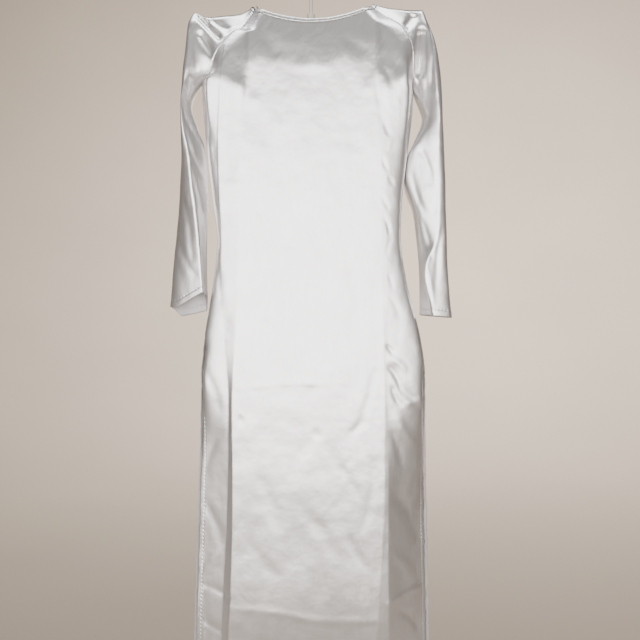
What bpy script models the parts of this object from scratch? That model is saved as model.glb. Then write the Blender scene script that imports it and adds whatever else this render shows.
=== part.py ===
"""Ao dai tunic hanging on a plain hanger.

The garment is a flattened hollow form: a front and a back panel, two raglan sleeves and a neck
binding, each a thin wall of cloth. Sizes are in millimetres and are scaled to metres when a mesh
is made. The origin is the inside of the top of the hanger's hook, +Z is up and the front of the
garment faces -Y.
"""

import math

import bmesh
import bpy
import numpy as np
from mathutils import Matrix, Vector

MM = 0.001

# ---------------------------------------------------------------- driving dimensions (mm)
WALL = 1.2  # cloth
SEAM_GAP = 0.3  # between sewn pieces
LEAST_LEAN = 0.2  # keeps the gap at a sharply turned seam under 1.5 mm
HEM_WALL = 2.0  # cloth turned on itself
HEM_LEVEL = -1400.0  # bottom edge of both flaps
BINDING_HEIGHT = 6.5
BINDING_WALL = 2.4
NECK_SAG = {-1: 24.0, 1: 9.0}  # how far the front and the back of the neck hang below its ends
SLIT_ROW_LEFT = 12  # rows below the underarm at which the side slits start
SLIT_ROW_RIGHT = 13
FLAP_INSET = 7.5  # the front flap's edge lies this far inside the back flap's
FASTENER_WIRE = 0.9  # radius of the hook and the eye
FASTENER_CLEARANCE = 0.5  # from the binding

BAR_RADIUS = 4.5  # hanger
BAR_DIP = -101.0  # middle of the bar, under the hook
BAR_END_INSET = 9.0
BAR_CLEARANCE = 1.1
SOCKET_RADIUS = 7.5
SOCKET_TOP = -90.0
HOOK_RADIUS = 3.6
HOOK_BEND = 18.0  # inside radius of the hook
HOOK_NECK = -50.0  # where the hook's straight stem starts to swing out to the side
HOOK_TURN = 210  # degrees of the bend


def table(columns, *rows):
    """A table with named columns, as one array for each column."""
    names = columns.split()
    return {name: np.array([row[i] for row in rows], float) for i, name in enumerate(names)}


def smooth(source, column, at):
    """Value of a column at a place along the table's first column, on a smooth curve."""
    keys = next(iter(source.values()))
    values = source[column]
    if keys[0] > keys[-1]:
        keys = -keys
        at = -at
    at = min(max(at, keys[0]), keys[-1])
    slopes = np.gradient(values, keys)
    i = int(min(np.searchsorted(keys, at, side="right") - 1, len(keys) - 2))
    step = keys[i + 1] - keys[i]
    t = (at - keys[i]) / step
    rise = values[i + 1] - values[i]
    start = slopes[i] * step
    end = slopes[i + 1] * step
    return values[i] + t * (start + t * (3 * rise - 2 * start - end + t * (start + end - 2 * rise)))


# ---------------------------------------------------------------- shape of the body
# Outline: the side seams, and below the slits the edges of the back flap.
OUTLINE = table(
    "z left right",
    (-223, -206, 194),
    (-300, -202, 190),
    (-345, -197, 184),
    (-440, -186, 172),
    (-520, -177, 170),
    (-590, -183, 179),
    (-700, -201, 206),
    (-750, -208, 215),
    (-850, -211, 219),
    (-1000, -216, 222),
    (-1278, -224, 228),
    (-1400, -227, 231),
)
# How far forward (-y) or back (+y) the flat middles and the edges of the two panels lie.
DEPTH = table(
    "z front left_front right_front back left_back right_back",
    (-90, -46, -4, -4, 30, 4, 4),
    (-182, -31, -3, -3, 31, 2, 2),
    (-240, -36, -1, -1, 31, 1, 1),
    (-400, -35, 0, 0, 31, 0, 0),
    (-520, -31, -1, -1, 29, 0, 0),
    (-700, -33, -3, -4, 30, 3, 3),
    (-780, -34, -9, -7, 31, 12, 13),
    (-850, -34, -11, 10, 31, 14, 21),
    (-1100, -35, -11, 13, 32, 15, 24),
    (-1215, -40, -12, 14, 33, 16, 25),
    (-1310, -34, -11, 13, 33, 16, 25),
    (-1400, -35, -11, 13, 34, 17, 25),
)
# Lengthwise pressed folds of the front: the bright middle lies between crease_left and
# inner_right, and the cloth outside them turns back.
CREASES = table(
    "z turn_left turn_left_back crease_left inner_right crease_right",
    (-90, -150, 14, -115, 114, 120),
    (-225, -165, 16, -117, 116, 122),
    (-345, -171, 13, -131, 130, 138),
    (-480, -168, 11, -133, 132, 140),
    (-640, -166, 9, -137, 134, 142),
    (-830, -153, 7, -147, 137, 144),
    (-1050, -156, 11, -147, 135, 145),
    (-1180, -163, 14, -150, 127, 145),
    (-1278, -167, 14, -154, 121, 146),
    (-1400, -171, 14, -157, 116, 147),
)
BACK_CREASE_LEFT = -128.0
BACK_CREASE_RIGHT = 132.0
LEAST_SIDE = 11.0  # least distance from a panel's edge to its crease
LEAST_TURN = 5.0  # and between two lines next to each other
ROUNDING = 8.0  # how far the back's side strip lies in front of its flat middle

# ---------------------------------------------------------------- shape of the sleeves
# A row for each section of a sleeve. "down" is 0 at the neck, TIP at the point of the shoulder,
# 1 at the underarm and 2 at the cuff. outer is the fold along the top of the shoulder and the
# outside of the arm. seam is the raglan seam, and below the underarm the sleeve's inner edge.
# fold is the share of the way from outer to seam at which the front face turns inwards.
SLEEVE_COLUMNS = (
    "down outer_x outer_z seam_x seam_z seam_y front_y back_y fold drop"
)
TIP = 0.5
SHOULDER_RIGHT_SIDE = table(
    SLEEVE_COLUMNS,
    (0.00, -116, -81, -108, -91, -16, -14, 14, 0.5, 0),
    (0.12, -137, -90, -117, -108, -22, -18, 17, 0.45, 0),
    (0.25, -166, -94, -127, -123, -26, -20, 18, 0.4, 0),
    (0.40, -201, -96, -144, -131, -28, -21, 19, 0.35, 0),
    (0.50, -221, -89, -157, -145, -29, -22, 21, 0.35, 0),
)
ARM_RIGHT_SIDE = table(
    SLEEVE_COLUMNS,
    (0.50, -221, -89, -157, -145, -29, -22, 21, 0.35, 0),
    (0.62, -231, -110, -169, -160, -28, -24, 25, 0.35, 0),
    (0.80, -236, -165, -182, -184, -24, -29, 32, 0.3, 0),
    (0.92, -240, -205, -190, -208, -15, -34, 37, 0.3, 0),
    (1.00, -242, -236, -206, -223, 0, -36, 39, 0.3, 0),
    (1.06, -243, -255, -222, -250, -4, -38, 40, 0.3, 0),
    (1.22, -243, -308, -216, -306, -12, -38, 40, 0.2, 0),
    (1.33, -243, -345, -201, -343, -24, -36, 38, 0.25, 0),
    (1.52, -248, -430, -194, -430, -24, -33, 36, 0.45, 0),
    (1.76, -257, -530, -196, -530, -12, -30, 33, 0.85, 10),
    (2.00, -267, -645, -196, -616, -10, -28, 32, 0.92, 34),
)
SHOULDER_LEFT_SIDE = table(
    SLEEVE_COLUMNS,
    (0.00, 124, -74, 119, -85, -16, -14, 14, 0.5, 0),
    (0.12, 142, -77, 134, -98, -21, -18, 17, 0.45, 0),
    (0.25, 167, -81, 152, -108, -25, -20, 18, 0.4, 0),
    (0.40, 194, -83, 171, -122, -27, -21, 19, 0.35, 0),
    (0.50, 211, -83, 180, -137, -28, -22, 21, 0.3, 0),
)
ARM_LEFT_SIDE = table(
    SLEEVE_COLUMNS,
    (0.50, 211, -83, 180, -137, -28, -22, 21, 0.3, 0),
    (0.62, 222, -110, 187, -153, -28, -25, 25, 0.25, 0),
    (0.80, 236, -160, 191, -184, -26, -31, 32, 0.25, 0),
    (0.92, 242, -208, 192, -215, -15, -36, 37, 0.28, 0),
    (1.00, 245, -248, 194, -240, 0, -38, 39, 0.35, 0),
    (1.10, 246, -290, 211, -288, -1, -39, 40, 0.45, 0),
    (1.20, 248, -325, 198, -326, 6, -38, 40, 0.5, 0),
    (1.32, 250, -365, 183, -362, 13, -36, 40, 0.5, 0),
    (1.42, 252, -408, 178, -406, 13, -35, 40, 0.55, 0),
    (1.56, 253, -470, 195, -470, 0, -33, 37, 0.7, 0),
    (1.76, 256, -560, 204, -560, -5, -31, 33, 0.9, 0),
    (2.00, 265, -666, 206, -661, -6, -28, 30, 0.6, 0),
)
SIDES = {
    "right": (SHOULDER_RIGHT_SIDE, ARM_RIGHT_SIDE),
    "left": (SHOULDER_LEFT_SIDE, ARM_LEFT_SIDE),
}

# Largest folds of the cloth: a soft trough (depth > 0) or ridge (depth < 0) along a line.
FOLDS = table(
    "x_start z_start x_end z_end width depth",
    (-216, -96, -172, -142, 5, 6),  # under the point of the right shoulder
    (-207, -137, -184, -173, 7, 4),
    (-185, -107, -154, -128, 7, 3),
    (208, -132, 202, -208, 8, 9),  # in front of the left armpit
    (191, -100, 178, -120, 7, 4),
    (194, -238, 211, -273, 6, -3),
    (-128, -235, -110, -262, 14, -4),  # fullness at the ends of the bust darts
    (126, -215, 112, -240, 14, -4),
)
BACK_FOLDS = table(
    "x_start z_start x_end z_end width depth",
    (-214, -98, -175, -150, 6, 5),
    (205, -96, 180, -150, 7, 5),
    (207, -140, 205, -200, 8, 6),
    (-210, -140, -208, -180, 8, 4),
    (-60, -470, 50, -505, 16, 3),
)

# The neck's fastener: height above the binding's foot, along the binding from its right corner.
HOOK_WIRE = table("along height", (4, 11), (7, 9), (10, 6.5), (13, 4.5), (17, 2.6))
EYE_WIRE = table("along height", (-13, 3.0), (-9, 4.6), (-4, 5.2), (1, 4.4), (6, 2.8))

# ---------------------------------------------------------------- rows and columns of the sheets
RAGLAN_ROWS = [0, 0.08, 0.16, 0.24, 0.32, 0.4, 0.46, 0.5, 0.54, 0.59, 0.65, 0.72, 0.79, 0.86, 0.93, 1.0]
BODY_ROWS = 30
UNDERARM_EASE = 0.06  # share of the side over which its line leaves the underarm point
ARM_ROWS = 17
ARM_COLUMNS = 8  # on each face of a sleeve
EDGE_STEPS = (0.0, 0.07, 0.3, 0.62)  # closer together where the cloth rounds a side
MIDDLE_COLUMNS = 7


def ease(low, high, value):
    """0 below low, 1 above high, smooth between."""
    t = min(max((value - low) / (high - low), 0.0), 1.0)
    return t * t * (3 - 2 * t)


def mix(a, b, share):
    return a + (b - a) * share


def sleeve_row(side, down):
    """All the columns of one section of a sleeve."""
    shoulder, arm = SIDES[side]
    source = shoulder if down < TIP else arm
    return {name: smooth(source, name, down) for name in source}


def relief(folds, x, z):
    """How far the folds push the cloth towards the inside at a point."""
    total = 0.0
    for i in range(len(folds["depth"])):
        start = np.array((folds["x_start"][i], folds["z_start"][i]))
        run = np.array((folds["x_end"][i], folds["z_end"][i])) - start
        offset = np.array((x, z)) - start
        along = float(offset @ run) / float(run @ run)
        near = offset - min(max(along, 0.0), 1.0) * run
        away = math.hypot(near[0], near[1]) / folds["width"][i]
        total += folds["depth"][i] * math.exp(-away * away)
    return total


def seam_point(side, down, face):
    """A point of the raglan seam, on the front (face -1) or the back (face +1)."""
    row = sleeve_row(side, down)
    return np.array((row["seam_x"], -face * row["seam_y"], row["seam_z"]))


# ---------------------------------------------------------------- front and back panels
def slit_open(side, level):
    """0 where a side is sewn and 1 where its slit is open."""
    slit = SLIT_ROW_LEFT if side == "left" else SLIT_ROW_RIGHT
    return ease(slit, slit + 1, (level - 1) * BODY_ROWS)


def edge_power(side, level):
    """How sharply a panel turns back at its edge: rounded at a sewn side, straight elsewhere."""
    return 1.0 - 0.4 * ease(0.95, 1.08, level) * (1 - slit_open(side, level))


def edge_pair(level, face):
    """Left and right edge points of a panel's row. Levels 0 to 1 run down the raglan seams and
    1 to 2 down the sides."""
    if level <= 1:
        return seam_point("right", level, face), seam_point("left", level, face)
    share = level - 1
    points = []
    for side in ("left", "right"):
        sleeve_side = "right" if side == "left" else "left"
        top = sleeve_row(sleeve_side, 1.0)
        z = mix(top["seam_z"], HEM_LEVEL, share)
        open_share = slit_open(side, level)
        x = mix(top["seam_x"], smooth(OUTLINE, side, z), ease(0, UNDERARM_EASE, share))
        front_y = smooth(DEPTH, side + "_front", z)
        back_y = smooth(DEPTH, side + "_back", z)
        y = mix(0.5 * (front_y + back_y), front_y if face < 0 else back_y, open_share)
        if face < 0:
            x -= math.copysign(FLAP_INSET * open_share, x)
        points.append(np.array((x, y, z)))
    return points


def row_stations(level, face, left, right):
    """The x and y of the places where a panel's row bends, from the left edge to the right."""
    z = 0.5 * (left[2] + right[2])
    if face < 0:
        crease_left = max(smooth(CREASES, "crease_left", z), left[0] + LEAST_SIDE)
        turn_left = max(smooth(CREASES, "turn_left", z), left[0] + LEAST_TURN)
        turn_left = min(turn_left, crease_left - LEAST_TURN)
        crease_right = min(smooth(CREASES, "crease_right", z), right[0] - LEAST_SIDE)
        inner_right = min(smooth(CREASES, "inner_right", z), crease_right - LEAST_TURN)
        plane = smooth(DEPTH, "front", z)
        turn_y = plane + smooth(CREASES, "turn_left_back", z)
        return [(turn_left, turn_y), (crease_left, plane), (inner_right, plane), (crease_right, plane + 2)]
    plane = smooth(DEPTH, "back", z)
    crease_left = max(BACK_CREASE_LEFT, left[0] + LEAST_SIDE)
    crease_right = min(BACK_CREASE_RIGHT, right[0] - LEAST_SIDE)
    turn_left = mix(left[0], crease_left, 0.55)
    inner_right = crease_right - LEAST_TURN
    return [(turn_left, plane - ROUNDING), (crease_left, plane), (inner_right, plane), (crease_right, plane)]


def neck_sag(level, face):
    """How far the middle of a row hangs below its ends, which gives the boat neck."""
    return NECK_SAG[face] * (1 - ease(0.0, 0.9, level))


def panel_row(level, face):
    """Points of one row of the front (face -1) or back (face +1) panel."""
    left, right = edge_pair(level, face)
    turn, crease_l, crease_r, side_r = row_stations(level, face, left, right)
    power = edge_power("left", level)
    plan = []
    for step in EDGE_STEPS:
        plan.append((mix(left[0], turn[0], step), mix(left[1], turn[1], step**power)))
    plan.append(turn)
    plan.append((mix(turn[0], crease_l[0], 0.5), mix(turn[1], crease_l[1], 0.5)))
    for i in range(MIDDLE_COLUMNS + 1):
        share = i / MIDDLE_COLUMNS
        plan.append((mix(crease_l[0], crease_r[0], share), mix(crease_l[1], crease_r[1], share)))
    plan.append(side_r)
    power = edge_power("right", level)
    for step in reversed(EDGE_STEPS):
        plan.append((mix(right[0], side_r[0], step), mix(right[1], side_r[1], step**power)))
    boat = 1 - ease(0.12, 0.7, level)
    middle_y = crease_l[1]
    points = []
    for x, y in plan:
        share = (x - left[0]) / (right[0] - left[0])
        arch = 1 - (2 * share - 1) ** 2
        edge_y = mix(left[1], right[1], share)
        y = mix(y, mix(edge_y, middle_y, arch**0.7), boat)
        z = mix(left[2], right[2], share) - neck_sag(level, face) * arch
        push = relief(FOLDS if face < 0 else BACK_FOLDS, x, z)
        y += -face * push * min(1.0, 6 * arch)
        points.append((x, y, z))
    return points


def panel(face):
    """Sheet of points of a panel, top row first."""
    levels = RAGLAN_ROWS + [1 + (i + 1) / BODY_ROWS for i in range(BODY_ROWS)]
    return np.array([panel_row(level, face) for level in levels])


# ---------------------------------------------------------------- sleeves
def face_profile(share, fold, seam_power):
    """0 at both edges of a sleeve's face and 1 at its fold, rounded at the outer edge."""
    if share <= fold:
        return (share / fold) ** 0.55
    return ((1 - share) / (1 - fold)) ** seam_power


def sleeve_face(side, down, face):
    """Points from the outer fold to the seam on one face of a sleeve."""
    row = sleeve_row(side, down)
    closed = ease(0.8, 1.0, down)
    seam_power = mix(1.0, 0.5, ease(0.93, 1.08, down))
    bulge = row["front_y"] if face < 0 else row["back_y"]
    seam_y = row["seam_y"] if down >= 1 else -face * row["seam_y"]
    points = []
    for i in range(ARM_COLUMNS + 1):
        share = i / ARM_COLUMNS
        share = mix(share**1.5, 0.5 - 0.5 * math.cos(math.pi * share), closed)
        base = mix(0.0, seam_y, share)
        amount = bulge - mix(0.0, seam_y, row["fold"])
        y = base + amount * face_profile(share, row["fold"], seam_power)
        x = mix(row["outer_x"], row["seam_x"], share)
        z = mix(row["outer_z"], row["seam_z"], share)
        depth = (y - row["front_y"]) / (row["back_y"] - row["front_y"])
        z -= row["drop"] * depth * min(1.0, 4 * share) if down > 1 else 0.0
        push = relief(FOLDS if face < 0 else BACK_FOLDS, x, z)
        y += -face * push * min(1.0, 5 * share, 5 * (1 - share))
        points.append((x, y, z))
    return points


def sleeve(side):
    """Sheet of points of a sleeve: front seam, outer fold, back seam."""
    downs = RAGLAN_ROWS + [1 + (i + 1) / ARM_ROWS for i in range(ARM_ROWS)]
    rows = []
    for down in downs:
        front = sleeve_face(side, down, -1)
        back = sleeve_face(side, down, 1)
        rows.append(front[::-1] + back[1:])
    return np.array(rows)


# ---------------------------------------------------------------- sheets made into walls
def key(point):
    return tuple(round(float(value), 3) for value in point)


class Sheet:
    """The middle surface of a piece of cloth: unique points and faces that share them."""

    def __init__(self, grid, turned, hem_rows=(), hem_columns=()):
        self.points = []
        self.number = {}
        self.faces = []
        self.thick = {}
        rows, columns = grid.shape[:2]
        index = [[self.add(grid[r][c]) for c in range(columns)] for r in range(rows)]
        for r in range(rows):
            for c in range(columns):
                if r in hem_rows or (c in hem_columns and r >= hem_columns[c]):
                    self.thick[index[r][c]] = HEM_WALL
        for r in range(rows - 1):
            for c in range(columns - 1):
                corners = [index[r][c], index[r + 1][c], index[r + 1][c + 1], index[r][c + 1]]
                corners = [p for i, p in enumerate(corners) if p != corners[i - 1]]
                if len(corners) > 2:
                    self.faces.append(corners[::-1] if turned else corners)

    def add(self, point):
        name = key(point)
        if name not in self.number:
            self.number[name] = len(self.points)
            self.points.append(np.array(point, float))
        return self.number[name]

    def face_normal(self, face):
        a, b, c = (self.points[face[0]], self.points[face[1]], self.points[face[2]])
        d = self.points[face[-1]]
        return np.cross(c - a, d - b) if len(face) == 4 else np.cross(b - a, c - a)


def shared_normals(sheets):
    """Normals averaged over all the sheets, so that sewn edges lean the same way."""
    normals = {}
    for sheet in sheets:
        for face in sheet.faces:
            normal = sheet.face_normal(face)
            for corner in face:
                name = key(sheet.points[corner])
                normals[name] = normals.get(name, np.zeros(3)) + normal
    return {name: value / np.linalg.norm(value) for name, value in normals.items()}


def edge_insets(sheet, normals):
    """How each point on a sheet's border moves inwards to leave its half of the seam's gap.

    Where the shared normal leans along the sheet, as under the arm, the cloth stops shorter.
    """
    count = {}
    own = {}
    for face in sheet.faces:
        for a, b in zip(face, face[1:] + face[:1]):
            count[frozenset((a, b))] = count.get(frozenset((a, b)), 0) + 1
    inward = {}
    border = []
    for face in sheet.faces:
        normal = sheet.face_normal(face)
        for corner in face:
            own[corner] = own.get(corner, np.zeros(3)) + normal
        middle = sum(sheet.points[i] for i in face) / len(face)
        for a, b in zip(face, face[1:] + face[:1]):
            if count[frozenset((a, b))] > 1:
                continue
            border.append((a, b))
            along = sheet.points[b] - sheet.points[a]
            along /= np.linalg.norm(along)
            away = middle - sheet.points[a]
            away -= along * (away @ along)
            away /= np.linalg.norm(away)
            inward.setdefault(a, []).append(away)
            inward.setdefault(b, []).append(away)
    moves = {}
    for point, ways in inward.items():
        total = sum(ways)
        if len(ways) == 2:
            total = total / (1 + float(ways[0] @ ways[1]))
        lean = float(own[point] @ normals[key(sheet.points[point])]) / np.linalg.norm(own[point])
        moves[point] = total * SEAM_GAP / 2 / max(lean, LEAST_LEAN)
    return moves, border


def wall_mesh(name, sheet, normals):
    """A closed wall of cloth on both sides of a sheet."""
    moves, border = edge_insets(sheet, normals)
    mesh = bmesh.new()
    outer = []
    inner = []
    for i, point in enumerate(sheet.points):
        normal = normals[key(point)]
        place = point + moves.get(i, 0.0)
        extra = sheet.thick.get(i, WALL) - WALL / 2
        outer.append(mesh.verts.new(Vector((place + normal * WALL / 2) * MM)))
        inner.append(mesh.verts.new(Vector((place - normal * extra) * MM)))
    for face in sheet.faces:
        mesh.faces.new([outer[i] for i in face])
        mesh.faces.new([inner[i] for i in reversed(face)])
    for a, b in border:
        mesh.faces.new([outer[b], outer[a], inner[a], inner[b]])
    data = bpy.data.meshes.new(name)
    mesh.to_mesh(data)
    mesh.free()
    return data


def binding_frames(loop, falls, normals):
    """For each point of the neck's edge: the point, the way out of the cloth and the way up."""
    frames = []
    for point, fall in zip(loop, falls):
        out = normals[key(point)]
        up = fall - out * float(fall @ out)
        frames.append((point, out, up / np.linalg.norm(up)))
    return frames


def binding_mesh(name, frames):
    """The strip round the neck: a rounded band standing on the necks of the four pieces."""
    profile = ((0.0, -0.5), (0.0, 0.5), (0.72, 0.5), (1.0, 0.2), (1.0, -0.2), (0.72, -0.5))
    mesh = bmesh.new()
    rings = []
    for point, out, up in frames:
        ring = []
        for height, side in profile:
            place = point + up * (SEAM_GAP + height * BINDING_HEIGHT) + out * side * BINDING_WALL
            ring.append(mesh.verts.new(Vector(place * MM)))
        rings.append(ring)
    for ring, following in zip(rings, rings[1:] + rings[:1]):
        for i in range(len(profile)):
            j = (i + 1) % len(profile)
            mesh.faces.new((ring[i], following[i], following[j], ring[j]))
    bmesh.ops.recalc_face_normals(mesh, faces=mesh.faces)
    data = bpy.data.meshes.new(name)
    mesh.to_mesh(data)
    mesh.free()
    return data


def beside_binding(frames, along, height):
    """A place in front of the binding, for the middle of a wire that lies against it.

    along runs over the neck's right corner, at 0, from the sleeve to the front panel.
    """
    step = 1 if along >= 0 else -1
    at = 0
    left = abs(along)
    while True:
        point, out, up = frames[at]
        following = frames[at + step]
        run = float(np.linalg.norm(following[0] - point))
        if left <= run:
            break
        left -= run
        at += step
    share = left / run
    seat = BINDING_WALL / 2 + FASTENER_CLEARANCE + FASTENER_WIRE
    here = point + up * height + out * seat
    there = following[0] + following[2] * height + following[1] * seat
    return mix(here, there, share)


# ---------------------------------------------------------------- materials and objects
def finish(name, color, roughness, metallic):
    material = bpy.data.materials.new(name)
    material.use_nodes = True
    shader = material.node_tree.nodes["Principled BSDF"]
    shader.inputs["Base Color"].default_value = (*color, 1.0)
    shader.inputs["Roughness"].default_value = roughness
    shader.inputs["Metallic"].default_value = metallic
    return material


def add_object(name, data, material):
    data.materials.clear()
    data.materials.append(material)
    if isinstance(data, bpy.types.Mesh):
        data.shade_smooth()
        data.set_sharp_from_angle(angle=math.radians(38))
    item = bpy.data.objects.new(name, data)
    bpy.context.collection.objects.link(item)
    return item


def tube(name, path, radius, sides):
    """A round rod along a path of points, as a curve with filled ends."""
    curve = bpy.data.curves.new(name, "CURVE")
    curve.dimensions = "3D"
    curve.bevel_depth = radius * MM
    curve.bevel_resolution = sides // 2 - 2
    curve.use_fill_caps = True
    spline = curve.splines.new("POLY")
    spline.points.add(len(path) - 1)
    for point, place in zip(spline.points, path):
        point.co = (place[0] * MM, place[1] * MM, place[2] * MM, 1)
    return curve


# ---------------------------------------------------------------- build
def build_garment(satin, binding_satin):
    front = panel(-1)
    back = panel(1)
    right = sleeve("right")
    left = sleeve("left")
    last_row = len(front) - 1
    last_column = front.shape[1] - 1
    underarm_row = len(RAGLAN_ROWS) - 1
    edges = {0: underarm_row + SLIT_ROW_LEFT + 1, last_column: underarm_row + SLIT_ROW_RIGHT + 1}
    cuff = len(right) - 1
    sheets = {
        "front_panel": Sheet(front, False, (last_row,), edges),
        "back_panel": Sheet(back, True, (last_row,), edges),
        "sleeve_right": Sheet(right, True, (cuff,)),
        "sleeve_left": Sheet(left, False, (cuff,)),
    }
    normals = shared_normals(sheets.values())
    for name, sheet in sheets.items():
        add_object(name, wall_mesh(name, sheet, normals), satin)

    # The neck's edge, once round: front, over the left shoulder, back, over the right shoulder.
    tops = [front, left, back[:, ::-1], right[:, ::-1]]
    loop = [row for sheet in tops for row in sheet[0][:-1]]
    falls = [row for sheet in tops for row in (sheet[0] - sheet[1])[:-1]]
    frames = binding_frames(loop, falls, normals)
    add_object("neck_binding", binding_mesh("neck_binding", frames), binding_satin)
    return frames


def bar_path():
    """Middle line of the hanger's bar, just under the folds along both shoulders."""
    under = WALL / 2 + BAR_CLEARANCE + BAR_RADIUS
    sides = {}
    for side in ("right", "left"):
        points = []
        for i in range(9):
            share = i / 8
            row = sleeve_row(side, TIP * (1 - share))
            below = under + (BINDING_WALL - WALL) / 2 * ease(0.6, 1.0, share)
            points.append(np.array((row["outer_x"], 0.0, row["outer_z"] - below)))
        towards = points[1] - points[0]
        points[0] = points[0] + towards / np.linalg.norm(towards) * BAR_END_INSET
        sides[side] = points
    neck_right = sides["right"][-1]
    neck_left = sides["left"][-1]
    dip = []
    for i in range(1, 10):
        share = i / 10
        straight = mix(neck_right, neck_left, share)
        sink = (straight[2] - BAR_DIP) * math.sin(math.pi * share) ** 2
        dip.append(straight - np.array((0, 0, sink)))
    return sides["right"] + dip + sides["left"][::-1]


def hook_path():
    """Middle line of the hook: a stem that swings out to the side, then the round bend."""
    bend = HOOK_BEND + HOOK_RADIUS
    path = [(0.0, 0.0, SOCKET_TOP + SEAM_GAP)]
    for i in range(9):
        swing = i / 8
        x = bend * ease(0.0, 1.0, swing)
        path.append((x, 0.0, mix(HOOK_NECK, -HOOK_BEND, swing)))
    for i in range(1, 16):
        angle = math.radians(HOOK_TURN * i / 15)
        path.append((bend * math.cos(angle), 0.0, bend * math.sin(angle) - HOOK_BEND))
    return path


def build_hanger(plastic):
    guide = bpy.data.objects.new("bar_guide", tube("bar", bar_path(), BAR_RADIUS, 10))
    bpy.context.collection.objects.link(guide)
    bpy.context.view_layer.update()
    shaped = guide.evaluated_get(bpy.context.evaluated_depsgraph_get())
    bar_data = bpy.data.meshes.new_from_object(shaped)
    bpy.data.objects.remove(guide)
    bar = add_object("hanger_bar", bar_data, plastic)

    depth = SOCKET_TOP - BAR_DIP
    place = Matrix.Translation((0, 0, (BAR_DIP + depth / 2) * MM))
    radius = SOCKET_RADIUS * MM
    mesh = bmesh.new()
    bmesh.ops.create_cone(
        mesh, cap_ends=True, segments=24, radius1=radius, radius2=radius, depth=depth * MM, matrix=place
    )
    socket_data = bpy.data.meshes.new("socket")
    mesh.to_mesh(socket_data)
    mesh.free()
    socket = add_object("socket", socket_data, plastic)
    socket.hide_render = True
    socket.display_type = "WIRE"
    joined = bar.modifiers.new("socket", "BOOLEAN")
    joined.operation = "UNION"
    joined.solver = "EXACT"
    joined.object = socket

    add_object("hanger_hook", tube("hanger_hook", hook_path(), HOOK_RADIUS, 12), plastic)


def build_fastener(steel, frames):
    """The hook and the eye that close the right end of the neck, sewn to the binding's front."""
    for name, line in (("neck_hook", HOOK_WIRE), ("neck_eye", EYE_WIRE)):
        start = line["along"][0]
        run = line["along"][-1] - start
        path = []
        for i in range(25):
            along = start + run * i / 24
            path.append(beside_binding(frames, along, smooth(line, "height", along)))
        add_object(name, tube(name, path, FASTENER_WIRE, 6), steel)


def main():
    for item in list(bpy.data.objects):
        bpy.data.objects.remove(item, do_unlink=True)
    satin = finish("silver_white_satin", (0.74, 0.72, 0.72), 0.32, 0.0)
    binding_satin = finish("binding_satin", (0.80, 0.78, 0.77), 0.30, 0.0)
    plastic = finish("hanger_plastic", (0.62, 0.58, 0.52), 0.40, 0.0)
    steel = finish("dark_steel", (0.22, 0.21, 0.21), 0.35, 1.0)
    frames = build_garment(satin, binding_satin)
    build_hanger(plastic)
    build_fastener(steel, frames)


main()
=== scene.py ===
"""Ao dai tunic on a hanger: the cloth, stitches, finishes, light and camera.

Sizes in the tables are in millimetres. The origin is the inside of the top of the hanger's hook,
+Z is up and the front of the tunic faces -Y. A sleeve is named for the wearer's side, so the right
one is at -X. What lies on the panels is named as it is seen from the front, so left is at -X.
"""

import math

import bpy
import numpy as np
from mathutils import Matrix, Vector, noise


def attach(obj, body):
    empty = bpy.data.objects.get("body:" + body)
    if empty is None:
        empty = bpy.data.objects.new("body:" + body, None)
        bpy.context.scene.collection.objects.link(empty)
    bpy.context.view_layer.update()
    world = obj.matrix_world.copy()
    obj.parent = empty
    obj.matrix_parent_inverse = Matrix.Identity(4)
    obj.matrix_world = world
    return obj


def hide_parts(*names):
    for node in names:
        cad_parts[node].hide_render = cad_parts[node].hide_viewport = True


bl_info = {
    "name": "Ao Dai Tunic",
    "version": (1, 0, 0),
    "blender": (4, 5, 0),
    "location": "3D View > Sidebar > Ao Dai",
    "description": "A satin ao dai tunic with raglan sleeves on a plain hanger",
    "category": "Object",
}

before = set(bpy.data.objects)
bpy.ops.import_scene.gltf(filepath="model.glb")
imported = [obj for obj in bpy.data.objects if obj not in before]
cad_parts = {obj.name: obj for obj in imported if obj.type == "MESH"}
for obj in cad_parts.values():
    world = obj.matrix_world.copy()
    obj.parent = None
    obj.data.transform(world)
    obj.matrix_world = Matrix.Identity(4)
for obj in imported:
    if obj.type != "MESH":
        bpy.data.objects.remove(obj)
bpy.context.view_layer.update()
BODY = "root"
MM = 0.001
FRONT = -1  # the two faces of the tunic and of a sleeve
BACK = 1


# ------------------------------------------------------------------ tables and curves
def table(columns, *rows):
    """A table with named columns, as one array for each column."""
    names = columns.split()
    return {name: np.array([row[i] for row in rows], float) for i, name in enumerate(names)}


def smooth(source, column, at):
    """Values of a column at places along the table's first column, on a smooth curve."""
    keys = next(iter(source.values()))
    values = source[column]
    at = np.asarray(at, float)
    if keys[0] > keys[-1]:
        keys = -keys
        at = -at
    at = np.clip(at, keys[0], keys[-1])
    slopes = np.gradient(values, keys)
    i = np.clip(np.searchsorted(keys, at, side="right") - 1, 0, len(keys) - 2)
    step = keys[i + 1] - keys[i]
    t = (at - keys[i]) / step
    rise = values[i + 1] - values[i]
    start = slopes[i] * step
    end = slopes[i + 1] * step
    return values[i] + t * (start + t * (3 * rise - 2 * start - end + t * (start + end - 2 * rise)))


def ease(low, high, value):
    """0 below low, 1 above high, smooth between."""
    t = np.clip((value - low) / (high - low), 0.0, 1.0)
    return t * t * (3 - 2 * t)


def mix(a, b, share):
    return a + (b - a) * share


def half_wave(t):
    """Runs from 0 to 1 slowly at both ends."""
    return 0.5 - 0.5 * np.cos(np.pi * t)


def hump(distance, width, power=2):
    """1 on a line and falling away from it within about a width."""
    return np.exp(-((distance / width) ** power))


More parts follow.
